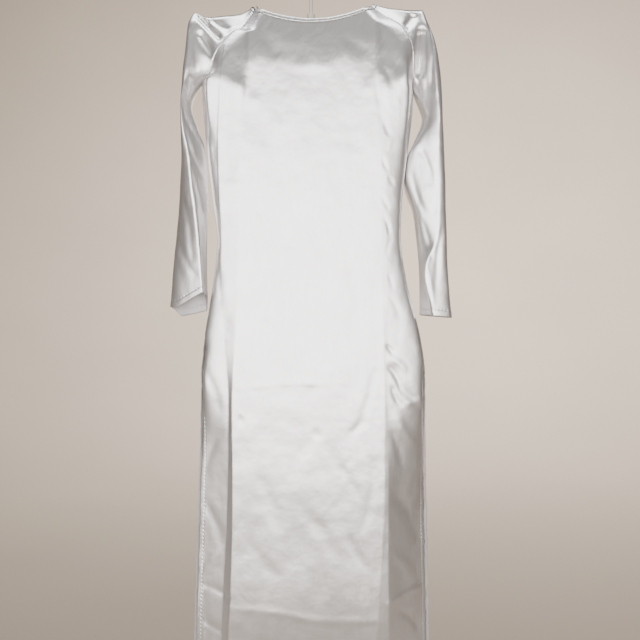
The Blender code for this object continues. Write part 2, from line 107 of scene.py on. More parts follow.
def softened(profile, at, reach, low, high):
    """Mean of a profile within a reach of each place, which rounds its sharp bends."""
    total = np.zeros(at.shape)
    for step, weight in ((-2, 1), (-1, 4), (0, 6), (1, 4), (2, 1)):
        total += profile(np.clip(at + step * 0.5 * reach, low, high)) * weight / 16
    return total


def sway(x, y, z=0.0):
    """Smooth unevenness between -1 and 1 at places, the same on every run."""
    at = np.broadcast_arrays(x, y, z)
    values = [noise.noise(Vector(spot)) for spot in zip(*(a.ravel() for a in at))]
    return np.reshape(values, at[0].shape)


def unit(vectors):
    return vectors / np.linalg.norm(vectors, axis=-1, keepdims=True)


# ------------------------------------------------------------------ form of the panels
# A level is 0 at the neck, 1 at the underarm and 2 at the hem. Below the underarm it is also
# counted in rows, of which there are BODY_ROWS.
HEM_LEVEL = -1400.0
BODY_ROWS = 30
SLIT_ROW = {"left": 12, "right": 13}  # where the side slits start
STRIP_FLATTENS = {"left": (14.0, 19.0), "right": (14.6, 20.5)}  # where the side strips get flat
STRIP_FILLS = (0.85, 1.0)  # levels between which they fill out below the shoulder
STRIP_FULLNESS = 0.86  # of the strips between those places
FLAP_INSET = 7.5  # the front flap is this much narrower on each side than the back one
UNDERARM_EASE = 0.06  # share of its length in which a side reaches the outline
NECK_SAG = {FRONT: 27.5, BACK: 9.0}
SAG_ENDS = 0.9  # level at which the rows no longer sag as the neck does
BACK_CREASE = {"left": -128.0, "right": 132.0}
LEAST_SIDE = 11.0  # least width of a side strip
LEAST_TURN = 5.0  # least distance of one bend of a row from the next
BACK_TURN = 0.55  # place of the back's left bend, from the edge to the crease
ROUNDING = 3.0  # how far the back comes forward at that bend
BEND_SOFTNESS = 2.6  # how far a bend is rounded
BEND_EDGE = 8.0  # and how far from an edge it starts to be sharper
FOLD_FADE = 6.0  # how steeply the largest folds fade at a panel's edges
FACE_FADE = 5.0  # and at those of a sleeve's face
RAGLAN_STEPS = 56
SIDE_STEPS = 262
SEGMENT_STEPS = (18, 10, 62, 9, 18)  # columns from edge to edge between the four bends of a row
COLUMN_CROWDING = 0.55  # 1 crowds the columns most at the bends
# x of both sides of the body below the underarm.
OUTLINE = table(
    "z left right",
    (-223, -206, 194),
    (-300, -202, 190),
    (-345, -197, 184),
    (-440, -186, 172),
    (-520, -177, 170),
    (-590, -183, 179),
    (-700, -201, 206),
    (-750, -208, 215),
    (-850, -211, 219),
    (-1000, -216, 222),
    (-1278, -224, 228),
    (-1400, -227, 231),
)
# Depth of the middle of both panels, and of their edges at each side. Where a side is sewn, its
# seam lies halfway between its two edges.
DEPTH = table(
    "z front left_front right_front back left_back right_back",
    (-90, -46, -4, -4, 30, 4, 4),
    (-182, -31, -3, -3, 31, 2, 2),
    (-240, -36, -1, -1, 31, 1, 1),
    (-400, -35, 0, 0, 31, 0, 0),
    (-520, -31, -1, -1, 29, 0, 0),
    (-700, -33, -3, -4, 30, 3, 3),
    (-780, -34, -9, -7, 31, 12, 13),
    (-850, -34, -9, 1, 31, 14, 21),
    (-960, -34.5, -8, 7, 31.5, 14.5, 22.5),
    (-1100, -35, -6.5, 13, 32, 15, 24),
    (-1215, -37.5, -7.5, 14.5, 33, 16, 25),
    (-1310, -34, -6.5, 14.5, 33, 16, 25),
    (-1400, -35, -6.5, 15, 34, 17, 25),
)
# x of the front's bends: the left strip turns back by turn_left_back at turn_left, and the right
# one by crease_right_back at crease_right.
CREASES = table(
    "z turn_left turn_left_back crease_left inner_right crease_right crease_right_back",
    (-90, -150, 2, -115, 114, 120, 0.8),
    (-225, -165, 2, -117, 116, 122, 0.6),
    (-345, -171, 2.5, -131, 130, 138, 0.5),
    (-480, -168, 3.5, -133, 132, 140, 0.5),
    (-640, -166, 4, -137, 134, 142, 0.6),
    (-830, -153, 5, -147, 137, 144, 1.2),
    (-1050, -156, 14, -147, 135, 145, 2.2),
    (-1180, -163, 18, -150, 127, 145, 3.2),
    (-1278, -167, 18, -154, 121, 146, 4.2),
    (-1400, -171, 18, -157, 116, 147, 4.6),
)

# ------------------------------------------------------------------ form of the sleeves
# Sections of a sleeve, from the neck (down 0) along the raglan seam to the underarm (1) and on to
# the cuff (2). outer is its outer fold and seam the raglan seam or the fold under the arm. front_y
# and back_y are its depths at the ridge, which lies at the share fold of the way to the seam.
# Below the underarm seam_y leans that fold back or forward, and drop lowers the back of the cuff.
SLEEVE_COLUMNS = "down outer_x outer_z seam_x seam_z seam_y front_y back_y fold drop"
TIP = 0.5  # the hanger's tip, where the shoulder's table ends and the arm's starts
SEAM_POINTS = 41  # at which the distance from a raglan seam is measured
ARM_STEPS = 150
FACE_STEPS = 40
RIDGE_SOFTNESS = 0.05  # a ridge is rounded within this share of the way across a face
SHOULDER_RIGHT_SIDE = table(
    SLEEVE_COLUMNS,
    (0.00, -116, -81, -108, -91, -17, -11, 14, 0.3, 0),
    (0.12, -137, -90, -117, -108, -20.5, -12, 17, 0.25, 0),
    (0.25, -166, -94, -127, -123, -23.5, -13.5, 18, 0.2, 0),
    (0.40, -201, -96, -144, -131, -26, -15.5, 19, 0.2, 0),
    (0.50, -221, -89, -157, -145, -29, -17.5, 21, 0.2, 0),
)
ARM_RIGHT_SIDE = table(
    SLEEVE_COLUMNS,
    (0.50, -221, -89, -157, -145, -29, -17.5, 21, 0.2, 0),
    (0.62, -231, -110, -169, -160, -31, -22, 25, 0.16, 0),
    (0.80, -236, -165, -182, -184, -29, -29, 32, 0.15, 0),
    (0.92, -240, -205, -190, -208, -17, -34, 37, 0.15, 0),
    (1.00, -242, -236, -206, -223, 0, -36, 39, 0.15, 0),
    (1.06, -243, -255, -222, -250, -4, -38, 40, 0.15, 0),
    (1.22, -243, -308, -216, -306, -12, -38, 40, 0.15, 0),
    (1.33, -243, -345, -201, -343, -15, -36, 38, 0.3, 0),
    (1.52, -248, -430, -194, -430, -13, -33, 36, 0.5, 0),
    (1.76, -257, -530, -196, -530, -12, -30, 33, 0.8, 10),
    (2.00, -267, -645, -196, -616, -10, -28, 32, 0.92, 34),
)
SHOULDER_LEFT_SIDE = table(
    SLEEVE_COLUMNS,
    (0.00, 124, -74, 119, -85, -17, -11, 14, 0.3, 0),
    (0.12, 142, -77, 134, -98, -19.5, -12, 17, 0.25, 0),
    (0.25, 167, -81, 152, -108, -22.5, -13.5, 18, 0.2, 0),
    (0.40, 194, -83, 171, -122, -26, -14.5, 19, 0.2, 0),
    (0.50, 211, -83, 180, -137, -29, -16, 21, 0.2, 0),
)
ARM_LEFT_SIDE = table(
    SLEEVE_COLUMNS,
    (0.50, 211, -83, 180, -137, -29, -16, 21, 0.2, 0),
    (0.62, 222, -110, 187, -153, -31, -23, 25, 0.2, 0),
    (0.80, 236, -160, 191, -184, -29, -31, 32, 0.2, 0),
    (0.92, 242, -208, 192, -215, -17, -36, 37, 0.2, 0),
    (1.00, 245, -248, 194, -240, 0, -38, 39, 0.2, 0),
    (1.10, 246, -290, 211, -288, -1, -39, 40, 0.2, 0),
    (1.20, 248, -325, 198, -326, 6, -38, 40, 0.2, 0),
    (1.32, 250, -365, 183, -362, 13, -36, 40, 0.2, 0),
    (1.42, 252, -408, 178, -406, 13, -35, 40, 0.2, 0),
    (1.56, 253, -470, 195, -470, 0, -33, 37, 0.25, 0),
    (1.68, 255, -524, 201, -524, -3, -32, 35, 0.4, 0),
    (1.76, 256, -560, 204, -560, -5, -31, 33, 0.78, 0),
    (2.00, 265, -666, 206, -661, -6, -28, 30, 0.6, 0),
)
SLEEVES = {
    "right": (SHOULDER_RIGHT_SIDE, ARM_RIGHT_SIDE),
    "left": (SHOULDER_LEFT_SIDE, ARM_LEFT_SIDE),
}
# How straight a sleeve falls from its ridge to its seam: 1 is straight and less is fuller.
INNER_FALL = {
    "right": table("down power", (0, 1), (0.93, 1), (1.08, 0.5), (1.2, 0.6), (1.35, 1), (2, 1)),
    "left": table("down power", (0, 1), (0.93, 1), (1.08, 0.4), (1.6, 0.35), (1.8, 0.9), (2, 1)),
}
# The same from the ridge to the outer fold.
OUTER_FALL = {
    "right": table(
        "down power",
        (0, 0.45),
        (0.35, 0.4),
        (0.6, 0.18),
        (0.8, 0.1),
        (1.3, 0.1),
        (1.6, 0.42),
        (2, 0.5),
    ),
    "left": table(
        "down power",
        (0, 0.5),
        (0.35, 0.45),
        (0.6, 0.18),
        (0.8, 0.1),
        (1.4, 0.09),
        (2, 0.09),
    ),
}
LEAST_POWER = 0.08

# ------------------------------------------------------------------ folds of the cloth
# The largest folds, as in the solids: a soft trough (depth > 0) or ridge (depth < 0) on a line.
FOLDS = table(
    "x_start z_start x_end z_end width depth",
    (-216, -96, -172, -142, 5, 6),
    (-207, -137, -184, -173, 7, 4),
    (-185, -107, -154, -128, 7, 3),
    (208, -132, 202, -208, 8, 9),
    (191, -100, 178, -120, 7, 4),
    (194, -238, 211, -273, 6, -3),
    (-128, -235, -110, -262, 14, -1.2),
    (126, -215, 112, -240, 14, -1.2),
)
BACK_FOLDS = table(
    "x_start z_start x_end z_end width depth",
    (-214, -98, -175, -150, 6, 5),
    (205, -96, 188, -134, 7, 4),
    (207, -140, 205, -200, 8, 5),
    (-210, -140, -208, -180, 8, 4),
    (-60, -470, 50, -505, 16, 3),
)
# Creases and wrinkles of the front panel. bow bends the line sideways at its middle, width is on
# each side of it, depth > 0 is a trough, and sharp is 1 for a pressed line and 2 for a soft one.
WRINKLE_COLUMNS = "x_start z_start x_end z_end bow width depth sharp"
PRESSED = 1.3  # sharpness up to which a line is pressed, so that it keeps its depth to its ends
WRINKLE_ENDS = 0.35  # share of its depth that a softer one keeps at its ends
FRONT_WRINKLES = table(
    WRINKLE_COLUMNS,
    # pressed across, where the tunic was folded
    (-132, -798, 0, -787, 3, 5, -0.6, 1),
    (-10, -789, 74, -783, -2, 4, -0.45, 1),
    (-150, -1206, -10, -1224, 4, 6, -0.7, 1.4),
    (-30, -1222, 122, -1228, -4, 7, -0.8, 1.4),
    (146, -1199, 219, -1178, 3, 6, -1.5, 1.2),
    (-205, -1168, -152, -1190, 2, 4, 1.3, 1.2),
    (-203, -1235, -168, -1254, -2, 5, 1.2, 1.5),
    (182, -826, 216, -821, 1, 5, -1.6, 1.2),
    # soft wrinkles in the middle of the flap
    (119, -763, 74, -893, 7, 7, 1.1, 2),
    (100, -858, 73, -880, 2, 6, 1.2, 2),
    (56, -945, 90, -1006, 5, 8, 0.8, 2),
    (92, -925, 60, -985, -4, 9, -0.6, 2),
    (30, -905, 66, -1010, 8, 10, 0.8, 2),
    (-20, -1020, 40, -1110, 10, 12, 0.9, 2),
    (60, -1040, 104, -1130, -8, 9, 0.9, 2),
    (-96, -960, -60, -1060, 8, 12, 0.8, 2),
    (-110, -1085, -58, -1150, -6, 11, 0.45, 2),
    (10, -860, -24, -930, 6, 11, 0.6, 2),
    (118, -930, 96, -1060, 6, 8, 0.9, 2),
    # dents
    (-86, -670, -84, -679, 0, 6, 1.5, 2),
    (10, -876, 13, -890, 0, 5, 1.4, 2),
    (-132, -850, -130, -864, 1, 5, 1.4, 2),
    (-99, -463, -96, -472, 0, 4, 0.8, 2),
    # short folds across the right crease
    (141, -718, 153, -735, 2, 4, 1.8, 2),
    (146, -757, 168, -801, 4, 5, 2.4, 2),
    (152, -795, 168, -829, -3, 5, 2.0, 2),
    (150, -742, 176, -764, 3, 5, -1.6, 2),
    (170, -800, 205, -842, 4, 8, 1.6, 2),
    (160, -850, 196, -905, -4, 9, -1.6, 2),
    (152, -880, 170, -945, 3, 7, 1.5, 2),
    # the right side strip
    (134, -262, 141, -284, 1, 4, 0.8, 2),
    (146, -268, 160, -276, 1, 4, 0.5, 2),
    (138, -302, 146, -326, -2, 4, 0.8, 2),
    (150, -334, 143, -352, 1, 3.5, -0.6, 2),
    (133, -372, 141, -392, 1, 4, 0.9, 2),
    (144, -404, 152, -418, 1, 3.5, 0.6, 2),
    (131, -442, 143, -462, 2, 4, 0.8, 2),
    (137, -478, 147, -508, 1, 4, 0.8, 2),
    (150, -520, 142, -546, -2, 4, 0.5, 2),
    (146, -585, 152, -612, 1, 4, 0.6, 2),
    (150, -630, 164, -668, 3, 5, 0.7, 2),
    (164, -1000, 202, -1090, 8, 12, 1.8, 2),
    (206, -930, 178, -1010, -5, 9, -1.2, 2),
    (158, -1110, 190, -1165, 5, 9, -1.4, 2),
    (166, -1215, 206, -1255, 4, 8, 1.6, 2),
    # the left side strip
    (-196, -300, -180, -372, 3, 6, 0.9, 2),
    (-182, -420, -170, -500, -3, 6, 0.8, 2),
    (-178, -560, -168, -640, 3, 7, 0.8, 2),
    (-200, -760, -172, -838, 5, 8, 1.2, 2),
    (-168, -880, -204, -960, -4, 8, 1.1, 2),
    (-206, -1010, -170, -1082, 5, 9, 1.2, 2),
    (-172, -1100, -206, -1146, 3, 7, -1.0, 2),
    # the chest
    (-96, -140, -60, -180, 5, 14, 0.9, 2),
    (60, -150, 98, -176, 4, 14, 0.9, 2),
    (-30, -200, 30, -202, 2, 9, -0.5, 2),
    (-90, -300, -60, -420, 8, 16, 0.7, 2),
    (40, -330, 70, -450, -8, 18, 0.7, 2),
    (-30, -520, -50, -640, 6, 18, 0.7, 2),
    (70, -560, 90, -700, 7, 14, 0.8, 2),
    (136, -205, 151, -241, 2, 4, 1.4, 1.6),
)
BACK_WRINKLES = table(
    WRINKLE_COLUMNS,
    (-200, -792, 40, -784, 4, 6, -0.9, 1.1),
    (30, -786, 210, -796, -3, 6, -0.8, 1.1),
    (-214, -1196, -10, -1216, 5, 9, -2.0, 1.2),
    (-20, -1215, 222, -1202, -5, 9, -2.1, 1.2),
    (-150, -140, -96, -230, 8, 12, 1.2, 2),
    (96, -140, 150, -214, -6, 13, 1.2, 2),
    (-60, -120, -20, -170, 5, 14, 0.8, 2),
    (20, -125, 62, -168, -4, 14, 0.8, 2),
    (-150, -440, -60, -470, 5, 10, 1.3, 2),
    (150, -430, 50, -475, -6, 11, 1.3, 2),
    (-140, -520, -40, -505, -4, 10, -1.1, 2),
    (60, -500, 140, -540, 4, 10, 1.1, 2),
    (-110, -600, -70, -700, 8, 14, 1.0, 2),
    (70, -610, 110, -730, -8, 14, 1.1, 2),
    (-40, -830, -90, -950, 9, 14, 1.1, 2),
    (30, -850, 70, -980, -9, 13, 1.1, 2),
    (-160, -860, -120, -980, 7, 12, 1.2, 2),
    (150, -880, 176, -1010, 8, 12, 1.3, 2),
    (-20, -1020, 20, -1140, 8, 14, 1.0, 2),
    (-180, -1050, -140, -1160, -7, 12, 1.2, 2),
    (110, -1060, 80, -1180, 7, 13, 1.1, 2),
    (-60, -1260, -30, -1340, 5, 14, 0.9, 2),
    (90, -1250, 120, -1350, -5, 14, 1.0, 2),
    (-30, -330, 10, -430, 8, 16, 0.9, 2),
)
# Wrinkles of the sleeves, front and back. They pull from the armpit and hang down the arm.
SLEEVE_WRINKLES = table(
    WRINKLE_COLUMNS,
    (-205, -100, -191, -121, 2, 4, 2.0, 1.6),
    (-181, -104, -163, -119, -2, 4, -1.2, 2),
    (-226, -120, -214, -200, 3, 5, 1.4, 2),
    (-236, -210, -228, -300, 2, 4, 1.0, 2),
    (-224, -214, -208, -246, -3, 4, 1.8, 2),
    (-233, -318, -206, -396, -4, 5, 1.6, 1.5),
    (-226, -372, -205, -470, 4, 5, 1.3, 2),
    (-214, -420, -202, -520, -3, 5, -0.9, 2),
    (-240, -440, -222, -560, 4, 6, 1.0, 2),
    (-250, -520, -214, -590, -4, 7, 1.1, 2),
    (-206, -300, -203, -330, 1, 4, 1.2, 2),
    (217, -100, 229, -170, 2, 3.5, 1.8, 1.6),
    (229, -170, 226, -240, -2, 3.5, 1.5, 1.6),
    (196, -96, 190, -118, 2, 4, 1.4, 2),
    (206, -205, 212, -260, 2, 4, -1.6, 2),
    (236, -250, 240, -330, 2, 4, 0.9, 2),
    (204, -350, 226, -420, 4, 6, 1.6, 2),
    (188, -392, 214, -470, -4, 6, 1.5, 2),
    (236, -360, 230, -470, 3, 5, 1.0, 2),
    (208, -480, 226, -560, 3, 5, 1.0, 2),
    (244, -500, 234, -610, -3, 6, 1.0, 2),
    (212, -560, 228, -640, 3, 5, -0.8, 2),
)
# Depth of the chest in front of the hanger: it leans forward from the neck down to the bust and
# hangs straight below, from a higher line in the middle than beside the creases.
CHEST = table(
    "z middle beside",
    (-80, -30.0, -25.5),
    (-112, -34.6, -29.8),
    (-140, -38.0, -33.4),
    (-160, -39.9, -35.9),
    (-175, -41.0, -37.6),
    (-187, -41.6, -38.9),
    (-192, -41.7, -39.4),
    (-198, -41.6, -39.9),
    (-222, -40.8, -42.1),
    (-240, -40.2, -44.1),
    (-246, -40.0, -44.7),
    (-250, -39.9, -44.9),
    (-255, -39.8, -44.7),
    (-264, -39.6, -44.1),
    (-300, -38.4, -40.3),
    (-360, -36.7, -37.1),
    (-420, -34.5, -34.5),
)
# How much higher the line is beside the creases, where the bust darts start.
BUST_LEFT = table("x rise", (-205, 22), (-160, 24), (-141, 14), (-128, 4), (-117, -7))
BUST_RIGHT = table("x rise", (120, 12), (150, 16), (162, 19), (168, 26), (179, 36), (193, 40))
BESIDE_CREASE = (15.0, 3.0)  # the two lines blend from outside of a crease to inside of it
# How far from the raglan seams the panels reach their depth, by level.
SEAM_REACH = table(
    "level front back",
    (0, 20, 90),
    (0.35, 30, 70),
    (0.7, 30, 50),
    (0.9, 16, 34),
    (1, 14, 26),
)
# Levels between which a row leaves the depth of the chest for its own bends.
CHEST_ENDS = {FRONT: (0.95, 1.14), BACK: (0.95, 1.25)}
# Bust darts: sewn lines that run in from the sides.
DARTS = (
    ((-203, -228), (-159, -226), (-141, -236), (-128, -246), (-117, -257)),
    ((193, -209), (179, -213), (168, -224), (162, -232)),
)
# The front laps over the side strip along a line at the wearer's right.
LAP_TOP = -165.0
LAP_TOP_FADE = 25.0
LAP_FOOT = -530.0
LAP_FOOT_FADE = 30.0
LAP_STEP = 0.5
LAP_INSET = 2.0  # of the line from the strip's bend
LAP_SLOPE = (0.8, 2.6)  # the step runs from this far inside the line to this far outside


def near_line(x, z, line):
    """Distance of points from a line of points, and the share of the way along it."""
    points = np.array(line, float)
    best = np.full(x.shape, np.inf)
    share = np.zeros(x.shape)
    runs = np.linalg.norm(np.diff(points, axis=0), axis=1)
    total = runs.sum()
    gone = 0.0
    for (ax, az), (bx, bz), run in zip(points[:-1], points[1:], runs):
        along = np.clip(((x - ax) * (bx - ax) + (z - az) * (bz - az)) / run**2, 0, 1)
        away = np.hypot(x - ax - along * (bx - ax), z - az - along * (bz - az))
        closer = away < best
        best = np.where(closer, away, best)
        share = np.where(closer, (gone + along * run) / total, share)
        gone += run
    return best, share


def table_rows(source):
    """The rows of a table, each with its start and end as points."""
    for values in zip(*source.values()):
        row = dict(zip(source, values))
        start = np.array((row["x_start"], row["z_start"]))
        end = np.array((row["x_end"], row["z_end"]))
        yield row, start, end


def large_relief(face, x, z):
    """How far the largest folds of a face push the cloth towards the inside."""
    total = np.zeros(x.shape)
    for row, start, end in table_rows(FOLDS if face == FRONT else BACK_FOLDS):
        away, _ = near_line(x, z, (start, end))
        total += row["depth"] * hump(away, row["width"])
    return total


def fine_relief(wrinkles, x, z):
    """How far the creases and wrinkles push the cloth outwards. Soft ones fade at their ends."""
    total = np.zeros(x.shape)
    for row, start, end in table_rows(wrinkles):
        run = end - start
        side = np.array((-run[1], run[0])) / np.linalg.norm(run)
        line = []
        for step in range(7):
            t = step / 6
            line.append(start + run * t + side * row["bow"] * 4 * t * (1 - t))
        away, along = near_line(x, z, line)
        fade = (4 * along * (1 - along)) ** 0.5 if row["sharp"] > PRESSED else 1.0
        shape = hump(away, row["width"], row["sharp"])
        total -= row["depth"] * shape * mix(WRINKLE_ENDS, 1.0, fade)
    return total


def rumple(points, seed, size, height):
    """Soft unevenness of the hanging cloth, the same on every run."""
    shift = Vector((seed * 17.3, seed * 5.1, seed * 9.7))  # each piece has its own
    values = []
    for x, y, z in points.reshape(-1, 3):
        at = Vector((x / size, y / size, z / (size * 1.9))) + shift
        values.append(noise.noise(at) + 0.45 * noise.noise(at * 2.3))
    return np.array(values).reshape(points.shape[:-1]) * height


def sleeve_rows(side, down):
    """All the columns of the sections of a sleeve, as arrays."""
    shoulder, arm = SLEEVES[side]
    down = np.asarray(down, float)
    row = {}
    for name in arm:
        row[name] = np.where(down < TIP, smooth(shoulder, name, down), smooth(arm, name, down))
    return row


def seam_points(side, down, face):
    """Points of the raglan seam on one face of a sleeve."""
    row = sleeve_rows(side, down)
    return np.stack((row["seam_x"], -face * row["seam_y"], row["seam_z"]), axis=-1)


def seam_distance(side, x, z):
    """Distance from a sleeve's raglan seam and the line below it, as seen from the front."""
    points = seam_points(side, np.linspace(0, 1, SEAM_POINTS), FRONT)
    low = points[-1]
    away = np.abs(x - low[0]) + np.maximum(0.0, z - low[2])
    for point in points:
        away = np.minimum(away, np.hypot(x - point[0], z - point[2]))
    return away


# ------------------------------------------------------------------ panels
def row_levels(steps):
    """Levels of all rows of a piece that has this many of them below the underarm."""
    above = np.linspace(0, 1, RAGLAN_STEPS + 1)
    below = 1 + np.arange(1, steps + 1) / steps
    return np.concatenate((above, below))


def slit_open(side, level):
    """0 where a side is sewn and 1 where its slit is open."""
    return ease(SLIT_ROW[side], SLIT_ROW[side] + 1, (level - 1) * BODY_ROWS)


def edge_power(side, level):
    """How full a strip beside a crease is: 1 is flat, and lower values bend near its edge."""
    start, end = STRIP_FLATTENS[side]
    full = ease(*STRIP_FILLS, level) * (1 - ease(start, end, (level - 1) * BODY_ROWS))
    return 1.0 - STRIP_FULLNESS * full


def panel_edge(side, levels, face):
    """Points of a panel's left or right edge: the raglan seam, then the side."""
    sleeve_side = "right" if side == "left" else "left"
    above = seam_points(sleeve_side, np.minimum(levels, 1), face)
    share = np.maximum(levels - 1, 0)
    top = sleeve_rows(sleeve_side, 1.0)
    z = mix(float(top["seam_z"]), HEM_LEVEL, share)
    open_share = slit_open(side, levels)
    x = mix(float(top["seam_x"]), smooth(OUTLINE, side, z), ease(0, UNDERARM_EASE, share))
    front_y = smooth(DEPTH, side + "_front", z)
    back_y = smooth(DEPTH, side + "_back", z)
    y = mix(0.5 * (front_y + back_y), front_y if face == FRONT else back_y, open_share)
    if face == FRONT:
        x = x - np.sign(x) * FLAP_INSET * open_share
    below = np.stack((x, y, z), axis=-1)
    return np.where(levels[:, None] <= 1, above, below)


def stations(face, left, right):
    """x and y of both edges of a panel's rows and of their four bends, from left to right."""
    left_x, left_y, left_z = np.split(left, 3, axis=1)
    right_x, right_y, right_z = np.split(right, 3, axis=1)
    z = 0.5 * (left_z + right_z)
    if face == FRONT:
        plane = smooth(DEPTH, "front", z)
        crease_left = np.maximum(smooth(CREASES, "crease_left", z), left_x + LEAST_SIDE)
        turn_left = np.maximum(smooth(CREASES, "turn_left", z), left_x + LEAST_TURN)
        turn_left = np.minimum(turn_left, crease_left - LEAST_TURN)
        crease_right = np.minimum(smooth(CREASES, "crease_right", z), right_x - LEAST_SIDE)
        inner_right = np.minimum(smooth(CREASES, "inner_right", z), crease_right - LEAST_TURN)
        turn_y = plane + smooth(CREASES, "turn_left_back", z)
        crease_y = plane + smooth(CREASES, "crease_right_back", z)
    else:
        plane = smooth(DEPTH, "back", z)
        crease_left = np.maximum(BACK_CREASE["left"], left_x + LEAST_SIDE)
        turn_left = mix(left_x, crease_left, BACK_TURN)
        crease_right = np.minimum(BACK_CREASE["right"], right_x - LEAST_SIDE)
        inner_right = crease_right - LEAST_TURN
        turn_y = plane - ROUNDING
        crease_y = plane
    xs = (left_x, turn_left, crease_left, inner_right, crease_right, right_x)
    return xs, (left_y, turn_y, plane, plane, crease_y, right_y)


def panel_columns(xs):
    """x of all the columns of a panel, crowded at the stations."""
    columns = [xs[0]]
    for a, b, steps in zip(xs[:-1], xs[1:], SEGMENT_STEPS):
        for i in range(1, steps + 1):
            columns.append(mix(a, b, mix(i / steps, half_wave(i / steps), COLUMN_CROWDING)))
    return np.concatenate(columns, axis=1)


def bent_rows(at, xs, ys, powers):
    """Depth of a panel's rows at these x, with sharp bends at the stations."""
    outer_left = mix(ys[0], ys[1], np.clip((at - xs[0]) / (xs[1] - xs[0]), 0, 1) ** powers[0])
    outer_right = mix(ys[5], ys[4], np.clip((xs[5] - at) / (xs[5] - xs[4]), 0, 1) ** powers[1])
    depths = [outer_left]
    for i in (1, 2, 3):
        depths.append(mix(ys[i], ys[i + 1], (at - xs[i]) / (xs[i + 1] - xs[i])))
    return np.select([at < x for x in xs[1:5]], depths, outer_right)


def chest_depth(x, z):
    """Depth of the chest between its seams."""
    outside, inside = BESIDE_CREASE
    left_crease = smooth(CREASES, "crease_left", z)
    right_crease = smooth(CREASES, "crease_right", z)
    middle = smooth(CHEST, "middle", z)
    beside_left = smooth(CHEST, "beside", z - smooth(BUST_LEFT, "rise", x))
    beside_right = smooth(CHEST, "beside", z - smooth(BUST_RIGHT, "rise", x))
    depth = mix(beside_left, middle, ease(left_crease - outside, left_crease + inside, x))
    return mix(depth, beside_right, ease(right_crease - inside, right_crease + outside, x))


def panel_grid(face):
    """Points of a panel, and each row's level."""
    levels = row_levels(SIDE_STEPS)
    rows = levels[:, None]
    left = panel_edge("left", levels, face)
    right = panel_edge("right", levels, face)
    xs, ys = stations(face, left, right)
    x = panel_columns(xs)
    powers = (edge_power("left", rows), edge_power("right", rows))
    inside = np.minimum(x - xs[0], xs[5] - x)
    radius = BEND_SOFTNESS * np.clip(inside / BEND_EDGE, 0, 1)
    y = softened(lambda at: bent_rows(at, xs, ys, powers), x, radius, xs[0], xs[5])
    share = (x - xs[0]) / (xs[5] - xs[0])
    arch = 1 - (2 * share - 1) ** 2
    sag = NECK_SAG[face] * (1 - ease(0.0, SAG_ENDS, rows))
    z = mix(left[:, 2:], right[:, 2:], share) - sag * arch
    plane = ys[2]
    edge_y = mix(ys[0], ys[5], share)
    below = np.clip((y - edge_y) / (plane - edge_y), 0, 1)
    if face == FRONT:
        depth = chest_depth(x, z)
        reach = smooth(SEAM_REACH, "front", rows)
    else:
        depth = plane
        reach = smooth(SEAM_REACH, "back", rows)
        inside = np.minimum(seam_distance("right", x, z), seam_distance("left", x, z))
    above = np.sin(np.pi / 2 * np.clip(inside / reach, 0, 1))
    fullness = mix(above, below, ease(*CHEST_ENDS[face], rows))
    y = np.where(z > CHEST["z"][-1], mix(edge_y, depth, fullness), y)
    y -= face * large_relief(face, x, z) * np.minimum(1.0, FOLD_FADE * arch)
    return np.stack((x, y, z), axis=-1), levels


# ------------------------------------------------------------------ sleeves
def sleeve_face(side, downs, face):
    """Points from the outer fold to the seam on one face of a sleeve."""
    down = downs[:, None]
    row = sleeve_rows(side, down)
    seam_power = smooth(INNER_FALL[side], "power", down)
    outer_power = np.maximum(smooth(OUTER_FALL[side], "power", down), LEAST_POWER)
    bulge = row["front_y"] if face == FRONT else row["back_y"]
    seam_y = np.where(down >= 1, row["seam_y"], -face * row["seam_y"])
    # The points crowd at the outer fold on the shoulder, and at both ends of the face below.
    even = np.linspace(0, 1, FACE_STEPS + 1)[None, :]
    share = mix(even**1.5, half_wave(even), ease(0.8, 1.0, down))

    def profile(at):
        outer = (np.clip(at, 0, 1) / row["fold"]) ** outer_power
        inner = (np.clip(1 - at, 0, 1) / (1 - row["fold"])) ** seam_power
        return np.where(at <= row["fold"], outer, inner)

    near_edge = np.clip(FACE_FADE * np.minimum(share, 1 - share), 0, 1)
    bulge = bulge * softened(profile, share, RIDGE_SOFTNESS * near_edge, 0, 1)
    y = seam_y * np.clip((share - row["fold"]) / (1 - row["fold"]), 0, 1) + bulge
    x = mix(row["outer_x"], row["seam_x"], share)
    z = mix(row["outer_z"], row["seam_z"], share)
    depth = (y - row["front_y"]) / (row["back_y"] - row["front_y"])
    z = z - np.where(down > 1, row["drop"] * depth * np.minimum(1.0, 4 * share), 0.0)
    y = y - face * large_relief(face, x, z) * near_edge
    return np.stack((x, y, z), axis=-1)


def sleeve_grid(side):
    """Points of a sleeve: front seam, outer fold, back seam."""
    downs = row_levels(ARM_STEPS)
    front = sleeve_face(side, downs, FRONT)
    back = sleeve_face(side, downs, BACK)
    return np.concatenate((front[:, ::-1], back[:, 1:]), axis=1)


# ------------------------------------------------------------------ grids made into cloth
# Normals worked out across and then down a grid point out of the tunic after this factor.
OUTWARD = {"front_panel": -1, "back_panel": 1, "sleeve_right": 1, "sleeve_left": -1}
SEAM_TROUGH = 1.6  # half width of the low line along a seam
SEAM_REACHES = 8.0  # how far the cloth beside a seam stands up
HEM_SLOPE = (1.5, 1.0)  # a hem's step runs from this far before its stitches to past them


def grid_normals(grid, sign):
    """Outward normals of a grid of points."""
    normals = np.cross(np.gradient(grid, axis=1), np.gradient(grid, axis=0)) * sign
    length = np.linalg.norm(normals, axis=-1, keepdims=True)
    return normals / np.maximum(length, 1e-9)


def run_lengths(grid, axis):
    """Distance along the cloth from the first row or column, or along a line from its start."""
    steps = np.linalg.norm(np.diff(grid, axis=axis), axis=-1)
    zero = np.zeros_like(np.take(steps, [0], axis=axis))
    return np.concatenate((zero, np.cumsum(steps, axis=axis)), axis=axis)


